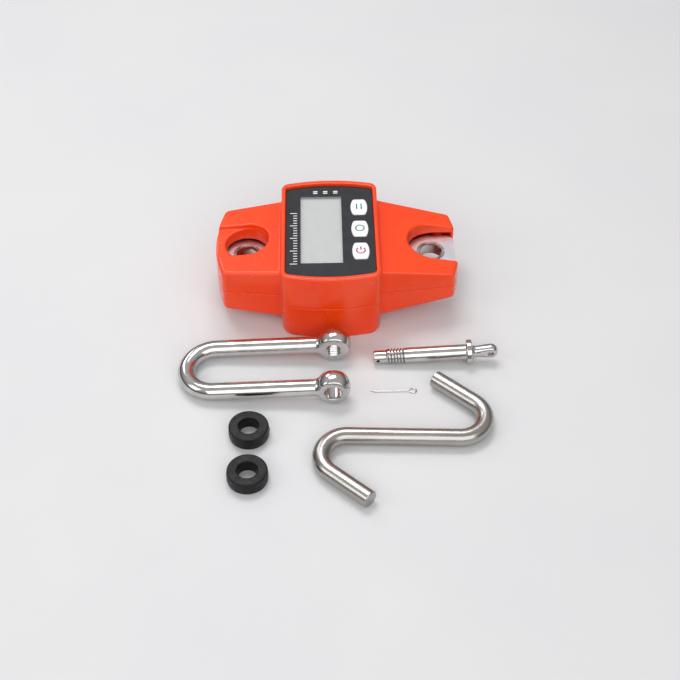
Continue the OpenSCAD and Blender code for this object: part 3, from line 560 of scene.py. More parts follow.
def spotsField(x, y, radius):
    # distance from the nearest screw, less a radius
    spots = [np.hypot(x - sx, np.abs(y) - sy) for sx, sy in screwSpots]
    return functools.reduce(np.minimum, spots) - radius


def caseOutside(x, y, z):
    # block and two wings, joined with a hollow fillet; the block's upright corners grow rounder below
    low = np.clip((case["growFrom"] - z) / case["growFrom"], 0, 1)
    block = bowedPlan(x, y, 0, 0, case["cornerR"] + case["cornerGrow"] * low)
    block = roundMeet(block, z - caseHigh[2], case["topEdge"])
    block = roundMeet(block, -z, case["footEdge"])
    body = roundJoin(block, wingField(x, y, z, -1, 0, case["wingEdge"]), case["wingRoot"])
    return roundJoin(body, wingField(x, y, z, 1, 0, case["wingEdge"]), case["wingRoot"])


def caseHollow(x, y, z):
    # outside, less pocket, channel and slot, less the space inside
    wall, edge = case["wall"], case["innerEdge"]
    outside = caseOutside(x, y, z)
    pocket = np.hypot(x - shackleEye, y) - case["pocketR"]
    channel = channelField(x, y, z, case["channelHalf"], case["channelDeep"], case["channelRim"])
    shell = roundMeet(outside, -channel, case["channelRim"])
    shell = roundMeet(shell, -pocket, case["pocketRim"])
    shell = roundMeet(shell, -slotPlan(x, y), case["slotRim"])
    space = bowedPlan(x, y, wall, wall, case["innerCorner"])
    space = np.maximum(space, np.maximum(wall - z, z - deckLow))
    space = np.minimum(space, wingField(x, y, z, -1, wall, edge))
    space = np.minimum(space, wingField(x, y, z, 1, wall, edge))
    walls = np.minimum(pocket, slotPlan(x, y)) - wall
    beside = channelField(x, y, z, case["channelHalf"] + wall, case["channelDeep"] + wall, edge)
    walls = np.minimum(walls, beside)
    cellClear = (cellHigh[2] - cellLow[2]) / 2 + case["cellGap"]
    walls = np.maximum(walls, cellClear - np.abs(z - split))
    return np.maximum(shell, -np.maximum(space, -walls)), outside


def deckOpening(x, y, z, low, high, gap):
    # straight hole through the deck under the panel, a gap wider all round than what fills it
    return boxField(x, y, z, (low[0] - gap, low[1] - gap, deckLow - 1),
                    (high[0] + gap, high[1] + gap, panelLow[2] + 1))


def frontShell(x, y, z):
    # the half in front of the parting line: bosses, panel recess, openings, then the line's rounded edge
    shell, outside = caseHollow(x, y, z)
    shell = np.minimum(shell, np.maximum(outside, spotsField(x, y, case["boss"])))
    fit = case["fit"]
    recess = bowedPlan(x, y, case["rimSide"] - fit, case["rimEnd"] - fit, case["recessCorner"])
    shell = roundMeet(shell, -np.maximum(recess, panelLow[2] - z), case["rimEdge"])
    shell = np.maximum(shell, -deckOpening(x, y, z, glassLow, glassHigh, case["glassGap"]))
    for key in keyNames:
        shell = np.maximum(shell, -deckOpening(x, y, z, *mmBox(key), case["keyGap"]))
    shell = np.maximum(shell, -np.maximum(spotsField(x, y, case["screwR"]), z - split - case["pilot"]))
    return roundMeet(shell, split + case["partingGap"] - z, case["partingEdge"])


def rearShell(x, y, z):
    # the half behind it: bosses, load cell posts, battery tray and cover bed, less what is cut from them
    shell, outside = caseHollow(x, y, z)
    bossField = np.maximum(spotsField(x, y, case["rearBoss"]), z - split)
    fromPost = np.hypot(x + halfW + case["postIn"], np.abs(y) - case["postHalf"])
    posts = np.maximum(fromPost - case["postR"], z - cellLow[2])
    bed = boxField(x, y, z, (-halfW, coverLow[1] - case["bedRim"], 0),
                   (coverHigh[0] + case["bedRim"], coverHigh[1] + case["bedRim"], case["bed"]))
    reach = case["boxWall"]
    tray = boxField(x, y, z, (case["boxX"] - reach, -case["boxHalf"] - reach, 0),
                    (case["boxX"] + case["boxL"] + reach, case["boxHalf"] + reach, case["boxTop"] + reach))
    added = functools.reduce(np.minimum, (bossField, posts, bed, tray))
    shell = np.minimum(shell, np.maximum(outside, added))
    gap, past = case["coverGap"], case["past"]
    cells = boxField(x, y, z, (case["boxX"], -case["boxHalf"], -past),
                     (case["boxX"] + case["boxL"], case["boxHalf"], case["boxTop"]))
    coverHalf = coverHigh[1] - case["tongue"]
    lid = boxField(x, y, z, (-halfW - past, -coverHalf - gap, -past),
                   (coverHigh[0] + gap, coverHalf + gap, coverHigh[2] + gap))
    groove = boxField(x, y, z, (-halfW - past, coverLow[1] - gap, coverHigh[2] - case["tongueT"] - gap),
                      (coverHigh[0] - case["tongueShort"] + gap, coverHigh[1] + gap, coverHigh[2] + gap))
    shell = roundMeet(shell, -functools.reduce(np.minimum, (cells, lid, groove)), case["openEdge"])
    headHole = spotsField(x, y, case["screwHeadR"] + case["headGap"])
    counterbore = np.maximum(headHole, z - split + case["screwSeat"])
    shankHole = spotsField(x, y, case["screwR"] + case["shankGap"])
    shell = roundMeet(shell, -np.minimum(counterbore, shankHole), case["screwEdge"])
    postHole = np.maximum(fromPost - case["postHoleR"], cellHigh[2] - case["postHole"] - z)
    shell = np.maximum(shell, -postHole)
    return roundMeet(shell, z - split + case["partingGap"], case["partingEdge"])


seamLines = np.array([0.05, 0.3, 0.46, 0.64, 0.9])     # close grid lines over the parting line's rounding
seamFree = 1.2
boxEnd = case["boxX"] + case["boxL"]
caseX = gridLine(caseLow[0], caseHigh[0], case["step"],
                 (-halfW, halfW, case["boxX"], boxEnd, coverHigh[0] + case["coverGap"]))
lidHalf = coverHigh[1] - case["tongue"] + case["coverGap"]
caseY = gridLine(caseLow[1], caseHigh[1], case["step"],
                 (-case["boxHalf"], case["boxHalf"], -lidHalf, lidHalf))
frontZ = gridLine(split + 1.6, caseHigh[2], case["step"], (panelLow[2],))
frontZ = np.concatenate([split + seamLines, frontZ[frontZ > split + seamFree]])
rearZ = gridLine(0, split - 1.6, case["step"], (coverHigh[2] + case["coverGap"], case["boxTop"]))
rearZ = np.concatenate([rearZ[rearZ < split - seamFree], split - seamLines[::-1]])
mesh = fieldMesh("frontShell", frontShell, caseX, caseY, frontZ)
makePiece(mesh, orangeAbs, "case", ["front_shell"])
mesh = fieldMesh("rearShell", rearShell, caseX, caseY, rearZ)
makePiece(mesh, orangeAbs, "case", ["rear_shell"])

printed = {
    "thick": 0.05,
    "scaleX": -28.3, "scaleFrom": -38.0, "scaleTo": 21.0, "divisions": 20,
    "tickWide": 0.7, "tickShort": 3.0, "tickLong": 5.6, "longEvery": 5,
    "markY": 46.5, "markX": (-11.0, -3.0, 5.0), "markSize": (3.4, 1.1), "markGap": 1.0,
}


def barsMesh(name, centres, sizes):
    # one box for each row: centre plus or minus half its size
    corner = np.array([(x, y, z) for z in (-1, 1) for x, y in ((-1, -1), (1, -1), (1, 1), (-1, 1))]) / 2
    points = (centres[:, None, :] + corner[None] * sizes[:, None, :]).reshape(-1, 3)
    sides = np.array([[3, 2, 1, 0], [4, 5, 6, 7], [0, 1, 5, 4], [1, 2, 6, 5], [2, 3, 7, 6], [3, 0, 4, 7]])
    faces = (np.arange(len(centres))[:, None, None] * 8 + sides[None]).reshape(-1, 4)
    mesh = meshFromArrays(name, points, [faces])
    mesh.polygons.foreach_set("use_smooth", np.zeros(len(mesh.polygons), dtype=bool))
    return mesh


tickY = np.linspace(printed["scaleFrom"], printed["scaleTo"], printed["divisions"] + 1)
isLong = np.arange(len(tickY)) % printed["longEvery"] == 0
tickLength = np.where(isLong, printed["tickLong"], printed["tickShort"])
inkZ = panelHigh[2] + printed["thick"] / 2
tickX = printed["scaleX"] + (printed["tickLong"] - tickLength) / 2
tickAt = np.stack([tickX, tickY, np.full_like(tickY, inkZ)], -1)
tickSize = np.stack(np.broadcast_arrays(tickLength, printed["tickWide"], printed["thick"]), -1)
markRows = [printed["markY"] + s * printed["markGap"] for s in (-1, 1)]
markAt = np.array([(x, y, inkZ) for x in printed["markX"] for y in markRows])
markSize = np.tile([*printed["markSize"], printed["thick"]], (len(markAt), 1))
makePiece(barsMesh("panelScale", tickAt, tickSize), inkWhite, "case")
makePiece(barsMesh("panelMarks", markAt, markSize), inkWhite, "case")
print("panel print done")

keyCap = {
    "width": 13.4, "length": 18.6, "bulge": 2.0, "endRound": 1.4,
    "collar": 0.8, "collarT": 1.0, "sunk": 0.5, "edge": 0.9, "crown": 0.35, "step": 0.4, "stepZ": 0.3,
}
keyRound = ((keyCap["length"] / 2) ** 2 + keyCap["bulge"] ** 2) / (2 * keyCap["bulge"])


def crownDrop(x, y):
    # how far a key's face falls from its middle: a shallow dome
    return keyCap["crown"] * ((x / (keyCap["width"] / 2)) ** 2 + (y / (keyCap["length"] / 2)) ** 2) / 2


def keyField(x, y, z, foot, top):
    # key about its own middle: two shallow arcs and two flat ends, domed, on a wider collar
    arcs = np.hypot(np.abs(x) + keyRound - keyCap["width"] / 2, y) - keyRound
    plan = roundMeet(arcs, np.abs(y) - keyCap["length"] / 2, keyCap["endRound"])
    face = z - (top - crownDrop(x, y))
    collarTop = foot + keyCap["collarT"]
    stem = np.maximum(roundMeet(plan, face, keyCap["edge"]), collarTop - keyCap["sunk"] - z)
    collar = np.maximum(plan - keyCap["collar"], np.maximum(foot - z, z - collarTop))
    return np.minimum(stem, collar)


def capMesh(key):
    # the key's field on a grid about its middle, then moved to its place
    low, high = mmBox(key)
    halfX, halfY = (high - low)[:2] / 2
    spot = (low + high) / 2 * (1, 1, 0)
    return fieldMesh(key + "Cap", lambda x, y, z: keyField(x, y, z, low[2], high[2]),
                     gridLine(-halfX, halfX, keyCap["step"]), gridLine(-halfY, halfY, keyCap["step"]),
                     gridLine(low[2], high[2], keyCap["stepZ"], (low[2] + keyCap["collarT"],)),
                     lambda p, turned=False: p if turned else p + spot)


for key in keyNames:
    makePiece(capMesh(key), keyWhite, key, [key])

sign = {
    "stroke": 1.1, "thick": 0.08, "radius": 3.3, "barHalf": 3.4, "barApart": 1.8, "points": 41,
    "openFrom": 270, "openHalf": 140, "stemMiddle": 2.3, "stemHalf": 1.9,
}


def strokeGrid(path, top):
    # flat stroke: four corners of its section carried along a level path, laid on the key's dome
    ahead = np.gradient(path, axis=0)
    ahead /= np.linalg.norm(ahead, axis=1, keepdims=True)
    side = np.stack([-ahead[:, 1], ahead[:, 0]], -1)
    across = np.array([-1, 1, 1, -1]) * sign["stroke"] / 2
    flat = path[:, None, :] + across[None, :, None] * side[:, None, :]
    height = top - crownDrop(flat[..., 0], flat[..., 1]) + np.array([-1, -1, 1, 1]) * sign["thick"] / 2
    return np.concatenate([flat, height[..., None]], -1)


def signMesh(key, paths):
    # one closed stroke grid for each path, with its two ends capped
    low, high = mmBox(key)
    points, faces, count = [], [], 0
    for path in paths:
        grid = strokeGrid(path, high[2])
        grid[..., :2] += (low + high)[:2] / 2
        last = 4 * len(path)
        points.append(grid.reshape(-1, 3))
        faces.append(gridFaces(len(path), 4, False)[:, ::-1] + count)
        faces.append(np.array([[0, 1, 2, 3], [last - 1, last - 2, last - 3, last - 4]]) + count)
        count += last
    return meshFromArrays(key + "Sign", np.concatenate(points), [np.concatenate(faces)])


along = np.linspace(-1, 1, sign["points"])
level = np.zeros_like(along)
ringAngle = np.pi * along
gapAngle = np.radians(sign["openFrom"] + sign["openHalf"] * along)
signs = {
    "key_hold": [np.stack([level + s * sign["barApart"], sign["barHalf"] * along], -1) for s in (-1, 1)],
    "key_tare": [sign["radius"] * np.stack([np.cos(ringAngle), np.sin(ringAngle)], -1)],
    "key_power": [sign["radius"] * np.stack([np.cos(gapAngle), np.sin(gapAngle)], -1),
                  np.stack([level, sign["stemMiddle"] + sign["stemHalf"] * along], -1)],
}
for key, paths in signs.items():
    makePiece(signMesh(key, paths), keyInks[key], key)
print("keys done")

bushTurning = {
    "bore": 8.5, "around": 144, "sharp": 24,
    # three ridges and two grooves of one face: distance out from the bore, height from the face
    "face": ((0, -1.2), (0.12, -0.4), (0.35, 0), (0.6, 0), (0.75, -0.6), (1.15, -0.6), (1.3, 0), (1.55, 0),
             (1.7, -0.6), (2.1, -0.6), (2.25, 0), (2.45, 0), (2.7, -0.4)),
}


def bushMesh(name, low, high):
    # profile of radius and height, carried round Z: point(a, k) = (r(k) cos a, r(k) sin a, z(k))
    half = (high[2] - low[2]) / 2
    face = np.array(bushTurning["face"])
    top = np.stack([bushTurning["bore"] + face[:, 0], half + face[:, 1]], -1)
    profile = np.concatenate([top[::-1], top * (1, -1)])
    around, count = bushTurning["around"], len(profile)
    angle = np.arange(around)[:, None] * tau / around
    r, z = profile[:, 0][None], profile[:, 1][None]
    points = np.stack(np.broadcast_arrays(r * np.cos(angle), r * np.sin(angle), z), -1) + (low + high) / 2
    mesh = meshFromArrays(name, points.reshape(-1, 3), [gridFaces(around, count, True)])
    mesh.set_sharp_from_angle(angle=math.radians(bushTurning["sharp"]))
    steps = np.linalg.norm(np.diff(np.concatenate([profile, profile[:1]]), axis=0), axis=1)
    far = np.concatenate([[0], np.cumsum(steps)])
    i, k = np.arange(around)[:, None], np.arange(count)[None]
    size = tau * bushTurning["bore"] / around
    u = np.stack(np.broadcast_arrays(i, i + 1, i + 1, i, k)[:4], -1) * size
    v = np.stack(np.broadcast_arrays(far[k], far[k], far[k + 1], far[k + 1], i)[:4], -1)
    latheMap = mesh.uv_layers.new(name="latheMap")
    latheMap.uv.foreach_set("vector", np.stack([u, v], -1).astype(np.float32).ravel())
    return mesh


for node in ("shackle_eye_bush", "hook_eye_bush"):
    mesh = bushMesh(node + "Turned", *mmBox(node))
    makePiece(mesh, turned, "case", [node])
print("bushes done")

shackle = {
    "rodR": 6.5, "ballR": 13.0, "ballHalf": 7.0, "length": 111.3, "legHalf": 22.1,
    "eyes": (0.8, -101.1), "turn": -1.4,
    "clearR": 6.5, "threadR": 5.1, "threadDeep": 1.25,
    "pitch": 2.3,                                  # drawn coarser than 1.75 so that it shows
    "ballEdge": 1.0, "neck": 2.2, "mouth": 0.8, "fine": 0.5, "coarse": 0.9, "threadStep": 0.35,
}
legHalf = shackle["legHalf"]
shackleTurn = math.radians(shackle["turn"])
shackleTilt = math.asin((shackle["ballR"] - shackle["rodR"]) / shackle["length"])
shackleAt = np.array([*shackle["eyes"], shackle["ballR"]])


def tilted(points, tilt, turn, origin, turned=False):
    # turns about Y, so that +X rises by tilt, then about Z by turn, then moves to origin
    rise = np.array([[math.cos(tilt), 0, -math.sin(tilt)], [0, 1, 0], [math.sin(tilt), 0, math.cos(tilt)]])
    swing = np.array([[math.cos(turn), -math.sin(turn), 0], [math.sin(turn), math.cos(turn), 0], [0, 0, 1]])
    out = points @ (swing @ rise).T
    return out if turned else out + origin


def shackleField(x, y, z):
    # rod: distance from two straight legs and a half circle; eyes: balls cut flat, each with its bore
    straight = shackle["length"] - legHalf
    across = np.where(x > -straight, np.abs(y), np.hypot(x + straight, y)) - legHalf
    rod = np.maximum(np.hypot(across, z) - shackle["rodR"], x)
    fromEye = np.abs(y) - legHalf
    ball = np.sqrt(x ** 2 + fromEye ** 2 + z ** 2) - shackle["ballR"]
    body = roundJoin(rod, ball, shackle["neck"])
    flats = np.where(x > -2 * shackle["ballR"], np.abs(fromEye) - shackle["ballHalf"], -shackle["ballHalf"])
    body = roundMeet(body, flats, shackle["ballEdge"])
    turn = np.arctan2(z, x) / tau
    phase = np.mod(y / shackle["pitch"] - turn, 1.0)
    tooth = shackle["threadR"] + shackle["threadDeep"] * np.abs(2 * phase - 1)
    bore = np.hypot(x, z) - np.where(y > 0, tooth, shackle["clearR"])
    return roundMeet(body, -bore, shackle["mouth"])


eyeX = gridLine(-shackle["ballR"] - 2, shackle["ballR"], shackle["fine"])
rodX = gridLine(-shackle["length"] - shackle["rodR"], -shackle["ballR"] - 4, shackle["coarse"])
legY = gridLine(legHalf - shackle["ballHalf"], legHalf + shackle["ballHalf"], shackle["threadStep"])
midY = gridLine(0, legHalf - shackle["ballHalf"] - 1.5, shackle["coarse"])
shackleX = np.unique(np.concatenate([rodX[rodX < eyeX[0] - 0.3], eyeX]))
halfY = np.concatenate([midY[(midY > 0) & (midY < legY[0] - 0.2)], legY])
shackleY = np.concatenate([-halfY[::-1], halfY])
shackleZ = gridLine(-shackle["ballR"], shackle["ballR"], shackle["fine"])


def layShackle(points, turned=False):
    # from the shackle's own axes to where it lies: bow on the floor, eyes raised
    return tilted(points, shackleTilt, shackleTurn, shackleAt, turned)


mesh = fieldMesh("forgedShackle", shackleField, shackleX, shackleY, shackleZ, layShackle)
makePiece(mesh, polished, "shackle", ["shackle"])

pinLow, pinHigh = mmBox("shackle_pin")
pin = {
    "r": 6.0, "length": 70.6, "flangeR": 9.5, "flangeT": 4.4, "flangeEdge": 0.9,
    "tipR": 5.0, "tip": 9.5, "tipEdge": 0.9, "threadStart": 10.5, "threadEnd": 24.5,
    "threadDeep": 1.7, "pitch": 2.3,               # drawn coarser than 1.75 so that it shows
    "grooveShare": 1.6, "threadFade": 1.2,
    "neck": 3.6, "neckTopR": 5.5, "neckR": 3.8, "neckJoin": 1.0, "flangeJoin": 0.5,
    "lugStartR": 4.4, "lugR": 5.6, "lugHalf": 3.8, "lugEdge": 1.2, "lugHole": 2.1, "lugMouth": 0.6,
    "cotterHole": 1.3, "cotterAt": 3.4, "cotterMouth": 0.3,
    "fine": 0.35, "coarse": 0.6, "stepY": 0.5,
}
pinTilt = math.atan((pin["flangeR"] - pin["r"]) / (pin["length"] + 1 - pin["threadStart"]))
pinAt = np.array([pinLow[0] + (pin["tipR"] - 1) * math.sin(pinTilt), (pinLow[1] + pinHigh[1]) / 2,
                  pin["r"] * math.cos(pinTilt) - pin["threadStart"] * math.sin(pinTilt)])
pinEnd = (pinHigh[0] - pinAt[0]) / math.cos(pinTilt)
lugAt = pinEnd - pin["lugR"]


def pinField(x, y, z):
    # round about X: tip, thread whose depth follows turn and pitch, shank, flange, neck; then a flat lug
    q = np.hypot(y, z)
    turn = np.arctan2(z, y) / tau
    phase = np.mod(x / pin["pitch"] - turn, 1.0)
    runs = np.clip(np.minimum(x - pin["threadStart"], pin["threadEnd"] - x) / pin["threadFade"], 0, 1)
    groove = pin["threadDeep"] * np.maximum(1 - pin["grooveShare"] * np.abs(2 * phase - 1), 0) * runs
    rise = np.clip((x - pin["tip"]) / (pin["threadStart"] - pin["tip"]), 0, 1)
    shank = q - (pin["tipR"] + (pin["r"] - pin["tipR"]) * rise - groove)
    shank = roundMeet(shank, -x, pin["tipEdge"])
    flangeMid = pin["length"] + pin["flangeT"] / 2
    shank = np.maximum(shank, x - flangeMid)
    flange = roundMeet(q - pin["flangeR"], np.abs(x - flangeMid) - pin["flangeT"] / 2, pin["flangeEdge"])
    body = roundJoin(shank, flange, pin["flangeJoin"])
    neckStart = pin["length"] + pin["flangeT"]
    drop = np.clip((x - neckStart) / pin["neck"], 0, 1)
    neck = q - pin["neckTopR"] + (pin["neckTopR"] - pin["neckR"]) * drop
    neck = np.maximum(neck, np.maximum(flangeMid - x, x - neckStart - pin["neck"] - 3))
    body = roundJoin(body, neck, pin["neckJoin"])
    alongLug = x - np.clip(x, neckStart + pin["neck"] + 1, lugAt)
    grow = np.clip((x - neckStart - pin["neck"]) / (lugAt - neckStart - pin["neck"]), 0, 1)
    lug = np.sqrt(alongLug ** 2 + q ** 2) - pin["lugStartR"] - (pin["lugR"] - pin["lugStartR"]) * grow
    lug = roundMeet(lug, np.abs(y) - pin["lugHalf"], pin["lugEdge"])
    body = roundJoin(body, lug, pin["lugEdge"])
    body = roundMeet(body, pin["lugHole"] - np.hypot(x - lugAt, z), pin["lugMouth"])
    return roundMeet(body, pin["cotterHole"] - np.hypot(x - pin["cotterAt"], z), pin["cotterMouth"])


def layPin(points, turned=False):
    # from the pin's own axes to where it lies: thread and flange on the floor
    return tilted(points, pinTilt, 0, pinAt, turned)


tipX = gridLine(0, pin["threadEnd"], pin["fine"])
pinX = np.unique(np.concatenate([tipX, gridLine(pin["threadEnd"] + 2, pinEnd, pin["coarse"])]))
pinY = gridLine(-pin["flangeR"], pin["flangeR"], pin["stepY"])
mesh = fieldMesh("forgedPin", pinField, pinX, pinY, pinY, layPin)
makePiece(mesh, polished, "shackle_pin", ["shackle_pin"])

cotterLow, cotterHigh = mmBox("cotter_pin")
cotter = {
    "wireR": 0.5, "loopR": 2.3, "gap": 0.52, "shortBy": 2.2,
    "loopOpen": 0.35, "sLength": 2.4, "around": 16, "steps": 60, "sSteps": 12,
}


def cotterPath():
    # leg, loop and leg: the loop is most of a circle, and each leg leaves it in a smooth S
    length = cotterHigh[0] - cotterLow[0]
    loopX = length - cotter["loopR"] - cotter["wireR"]
    start = math.pi - math.asin(cotter["gap"] / cotter["loopR"]) - cotter["loopOpen"]
    angle = np.linspace(start, -start, cotter["steps"])
    loop = np.stack([loopX + cotter["loopR"] * np.cos(angle), cotter["loopR"] * np.sin(angle)], -1)
    legX = np.linspace(0, loopX - cotter["loopR"] - cotter["sLength"], cotter["steps"])
    s = np.linspace(0, 1, cotter["sSteps"])[1:-1]
    joinX = legX[-1] + (loop[0, 0] - legX[-1]) * s
    joinY = cotter["gap"] + (loop[0, 1] - cotter["gap"]) * s * s * (3 - 2 * s)
    near = np.stack([np.append(legX, joinX), np.append(np.full(len(legX), cotter["gap"]), joinY)], -1)
    back = near[::-1] * (1, -1)
    back = back[back[:, 0] > cotter["shortBy"]]
    flat = np.concatenate([near, loop, back])
    path = np.zeros((len(flat), 3))
    path[:, :2] = flat + (cotterLow[0], (cotterLow[1] + cotterHigh[1]) / 2)
    path[:, 2] = cotterLow[2] + cotter["wireR"]
    return path


def rodMesh(name, path, radius, around):
    # a rod with flat ends, its end edges kept sharp, and a map in mm: round the rod and along it
    points = carryRound(path, radius, around)
    rings = len(path)
    flat = np.concatenate([points.reshape(-1, 3), path[:1], path[-1:]])
    quads = gridFaces(rings, around, False)[:, ::-1]
    fans = capFaces(rings, around, rings * around, rings * around + 1)[:, ::-1]
    mesh = meshFromArrays(name, flat, [quads, fans])
    mesh.set_sharp_from_angle(angle=math.radians(40))
    along = np.concatenate([[0], np.cumsum(np.linalg.norm(np.diff(path, axis=0), axis=1))])
    size = np.broadcast_to(radius, rings).max()
    k = np.arange(around)
    u = np.stack([k, k, k + 1, k + 1], -1)[None] * (tau * size / around)
    v = np.stack([along[:-1], along[1:], along[1:], along[:-1]], -1)[:, None]
    wall = np.stack(np.broadcast_arrays(u, v), -1).reshape(-1, 4, 2)[:, ::-1]
    ends = np.zeros((len(fans), 3, 2))
    rodMap = mesh.uv_layers.new(name="rodMap")
    rodMap.uv.foreach_set("vector", np.concatenate([wall.ravel(), ends.ravel()]).astype(np.float32))
    return mesh


mesh = rodMesh("splitPin", cotterPath(), cotter["wireR"], cotter["around"])
makePiece(mesh, polished, "cotter_pin", ["cotter_pin"])
print("pins done")

rubber = mouldedRubber()
ring = {
    "bore": 14.2, "around": 200, "section": 112, "square": 7.0,
    "flash": 0.8, "flashWide": 0.42, "flashUp": 0.2, "swell": 0.25, "swells": 3,
    "ragged": ((0.25, 5), (0.2, 13)),              # size and number of the waves in the moulding line
}


def ringMesh(name, low, high, seed):
    # squared-off section turned about Z: |r|^n + |z|^n = 1, with a ragged moulding line round the middle
    middle = (low + high) / 2
    outer = (high[0] - low[0]) / 2 - ring["flash"]
    inner = ring["bore"] / 2
    height = (high[2] - low[2]) / 2
    angle = np.arange(ring["around"])[:, None] * tau / ring["around"]
    t = np.arange(ring["section"])[None, :] * tau / ring["section"]
    power = 2 / ring["square"]
    across = np.sign(np.cos(t)) * np.abs(np.cos(t)) ** power
    up = np.sign(np.sin(t)) * np.abs(np.sin(t)) ** power
    r = (outer + inner) / 2 + across * (outer - inner) / 2
    z = up * height
    ragged = 1 + sum(size * (np.sin(waves * angle + n * seed) - 1)
                     for n, (size, waves) in enumerate(ring["ragged"], 1))
    line = ring["flash"] * ragged * np.exp(-((z - ring["flashUp"]) / ring["flashWide"]) ** 2) * (across > 0)
    swell = ring["swell"] * np.sin(ring["swells"] * angle + seed) * np.sin(t) ** 2 * (np.abs(across) > 0.5)
    r = r + line + np.minimum(swell, 0)
    points = np.stack(np.broadcast_arrays(r * np.cos(angle), r * np.sin(angle), z), -1) + middle
    return meshFromArrays(name, points.reshape(-1, 3), [gridFaces(ring["around"], ring["section"], True)])


for node, seed in (("ring_one", 0.6), ("ring_two", 2.9)):
    low, high = mmBox(node)
    mesh = ringMesh(node + "Rubber", low, high, seed)
    makePiece(mesh, rubber, node, [node])
print("rings done")

hookLow, hookHigh = mmBox("s_hook")
hook = {
    "r": 6.5, "mid": 80.2, "bend": 19.2, "turn": 140.7, "tip": 37.1, "angle": -2.6, "chamfer": 0.6,
    "around": 72, "step": 0.9,
}


def hookPath():
    # half the S by arc length s: straight, then a bend of steady radius, then straight;
    # the other half is the same turned round
    turn = math.radians(hook["turn"])
    total = hook["mid"] / 2 + hook["bend"] * turn + hook["tip"]
    s = np.append(np.arange(0, total - hook["chamfer"], hook["step"]), [total - hook["chamfer"], total])
    heading = np.clip((s - hook["mid"] / 2) / hook["bend"], 0, turn)
    tip = np.maximum(s - hook["mid"] / 2 - hook["bend"] * turn, 0)
    x = np.minimum(s, hook["mid"] / 2) + hook["bend"] * np.sin(heading) + tip * math.cos(turn)
    y = hook["bend"] * (1 - np.cos(heading)) + tip * math.sin(turn)
    half = np.stack([x, y], -1)
    whole = np.concatenate([-half[:0:-1], half])
    c, n = math.cos(math.radians(hook["angle"])), math.sin(math.radians(hook["angle"]))
    middle = (hookLow + hookHigh) / 2
    path = np.zeros((len(whole), 3))
    path[:, 0] = middle[0] + c * whole[:, 0] - n * whole[:, 1]
    path[:, 1] = middle[1] + n * whole[:, 0] + c * whole[:, 1]
    path[:, 2] = hook["r"]
    radius = np.full(len(path), hook["r"])
    radius[[0, -1]] -= hook["chamfer"]
    return path, radius


hookLine, hookRadius = hookPath()
mesh = rodMesh("drawnHook", hookLine, hookRadius, hook["around"])
makePiece(mesh, drawn, "s_hook", ["s_hook"])
print("hook done")

studio = {
    "floor": 6.0, "floorTones": ("#d9d9db", "#dcdcdd"),
    "skyTop": "#ffffff", "skyLow": "#3a3c40", "skyRise": 0.7, "skyPower": 0.55,
    # soft boxes: place, width, height and power; each faces the middle of the object
    "boxes": {
        "overhead": ((-0.15, 0.5, 1.3), 0.9, 0.45, 8.0),
        "backLeft": ((-0.75, 1.1, 1.0), 0.5, 0.4, 2.0),
        "leftFill": ((-1.3, -0.5, 0.9), 0.7, 0.7, 3.5),
        "frontFill": ((0.25, -1.6, 1.1), 2.6, 1.5, 19.0),
    },
    "aim": (0, -0.05, 0),
}
shot = {
    "lens": 72.31, "sensor": 36.0, "elevation": 45.6, "azimuth": -0.982, "roll": -0.312,
    "from": (-6.4, -805.1, 758.7),
}


def studioFloor():
    # pale painted board with a very faint mottle
    material = finishMaterial("painted_board", {
        "tones": studio["floorTones"], "shine": (0.55, 0.65), "depth": 0.004,
        "tone": (160, 2), "gloss": (60, 3), "skin": (4, 2),
    })
    half = studio["floor"] / 2 / mm
    corners = np.array([[-half, -half, 0], [half, -half, 0], [half, half, 0], [-half, half, 0]])
    mesh = meshFromArrays("floor", corners, [np.array([[0, 1, 2, 3]])])
    mesh.materials.append(material)
    linkObject("floor", mesh)


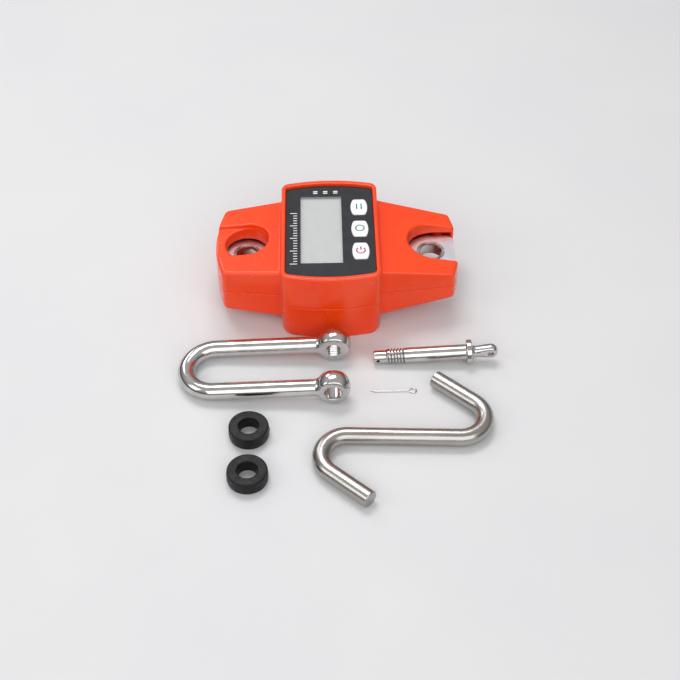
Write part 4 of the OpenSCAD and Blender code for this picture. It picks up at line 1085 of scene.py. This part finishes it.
def softBox(name, place, width, height, power):
    # a soft rectangle of light that faces the studio's aim
    light = bpy.data.lights.new(name, "AREA")
    light.shape = "RECTANGLE"
    light.size = width
    light.size_y = height
    light.energy = power
    lamp = linkObject(name, light)
    lamp.location = place
    away = np.array(place) - np.array(studio["aim"])
    lamp.rotation_euler = (math.acos(away[2] / np.linalg.norm(away)), 0, math.atan2(away[0], -away[1]))


def studioSky():
    # pale overhead, greyer towards the horizon, so that metal has something to show
    world = bpy.data.worlds.new("studio")
    world.use_nodes = True
    tree = world.node_tree
    tree.nodes.clear()
    way = addNode(tree, "TexCoord", {})
    part = addNode(tree, "SeparateXYZ", {}, {0: way.outputs["Generated"]})
    climb = {"From Min": 0.0, "From Max": studio["skyRise"], "To Min": 0.0, "To Max": 1.0}
    height = addNode(tree, "MapRange", climb, {"Value": part.outputs[2]})
    ends = {"data_type": "RGBA", 6: hexColour(studio["skyLow"]), 7: hexColour(studio["skyTop"])}
    colour = addNode(tree, "Mix", ends, {0: height.outputs[0]})
    power = {"Strength": studio["skyPower"]}
    back = addNode(tree, "Background", power, {"Color": colour.outputs[2]})
    addNode(tree, "OutputWorld", {}, {"Surface": back.outputs[0]})
    bpy.context.scene.world = world


def makeCamera():
    # looks down by elevation, turned by azimuth, rolled a little
    camera = linkObject("camera", bpy.data.cameras.new("camera"))
    camera.data.lens = shot["lens"]
    camera.data.sensor_width = shot["sensor"]
    e, a, roll = (math.radians(shot[k]) for k in ("elevation", "azimuth", "roll"))
    back = np.array([math.sin(a) * math.cos(e), -math.cos(a) * math.cos(e), math.sin(e)])
    right = np.array([math.cos(a), math.sin(a), 0.0])
    up = np.cross(back, right)
    right, up = right * math.cos(roll) + up * math.sin(roll), up * math.cos(roll) - right * math.sin(roll)
    matrix = np.eye(4)
    matrix[:3, 0], matrix[:3, 1], matrix[:3, 2] = right, up, back
    matrix[:3, 3] = np.array(shot["from"]) * mm
    camera.matrix_world = Matrix(matrix.tolist())
    bpy.context.scene.camera = camera


studioFloor()
studioSky()
for boxName, box in studio["boxes"].items():
    softBox(boxName, *box)
makeCamera()
bpy.context.scene.view_settings.view_transform = "Standard"
print("studio done")
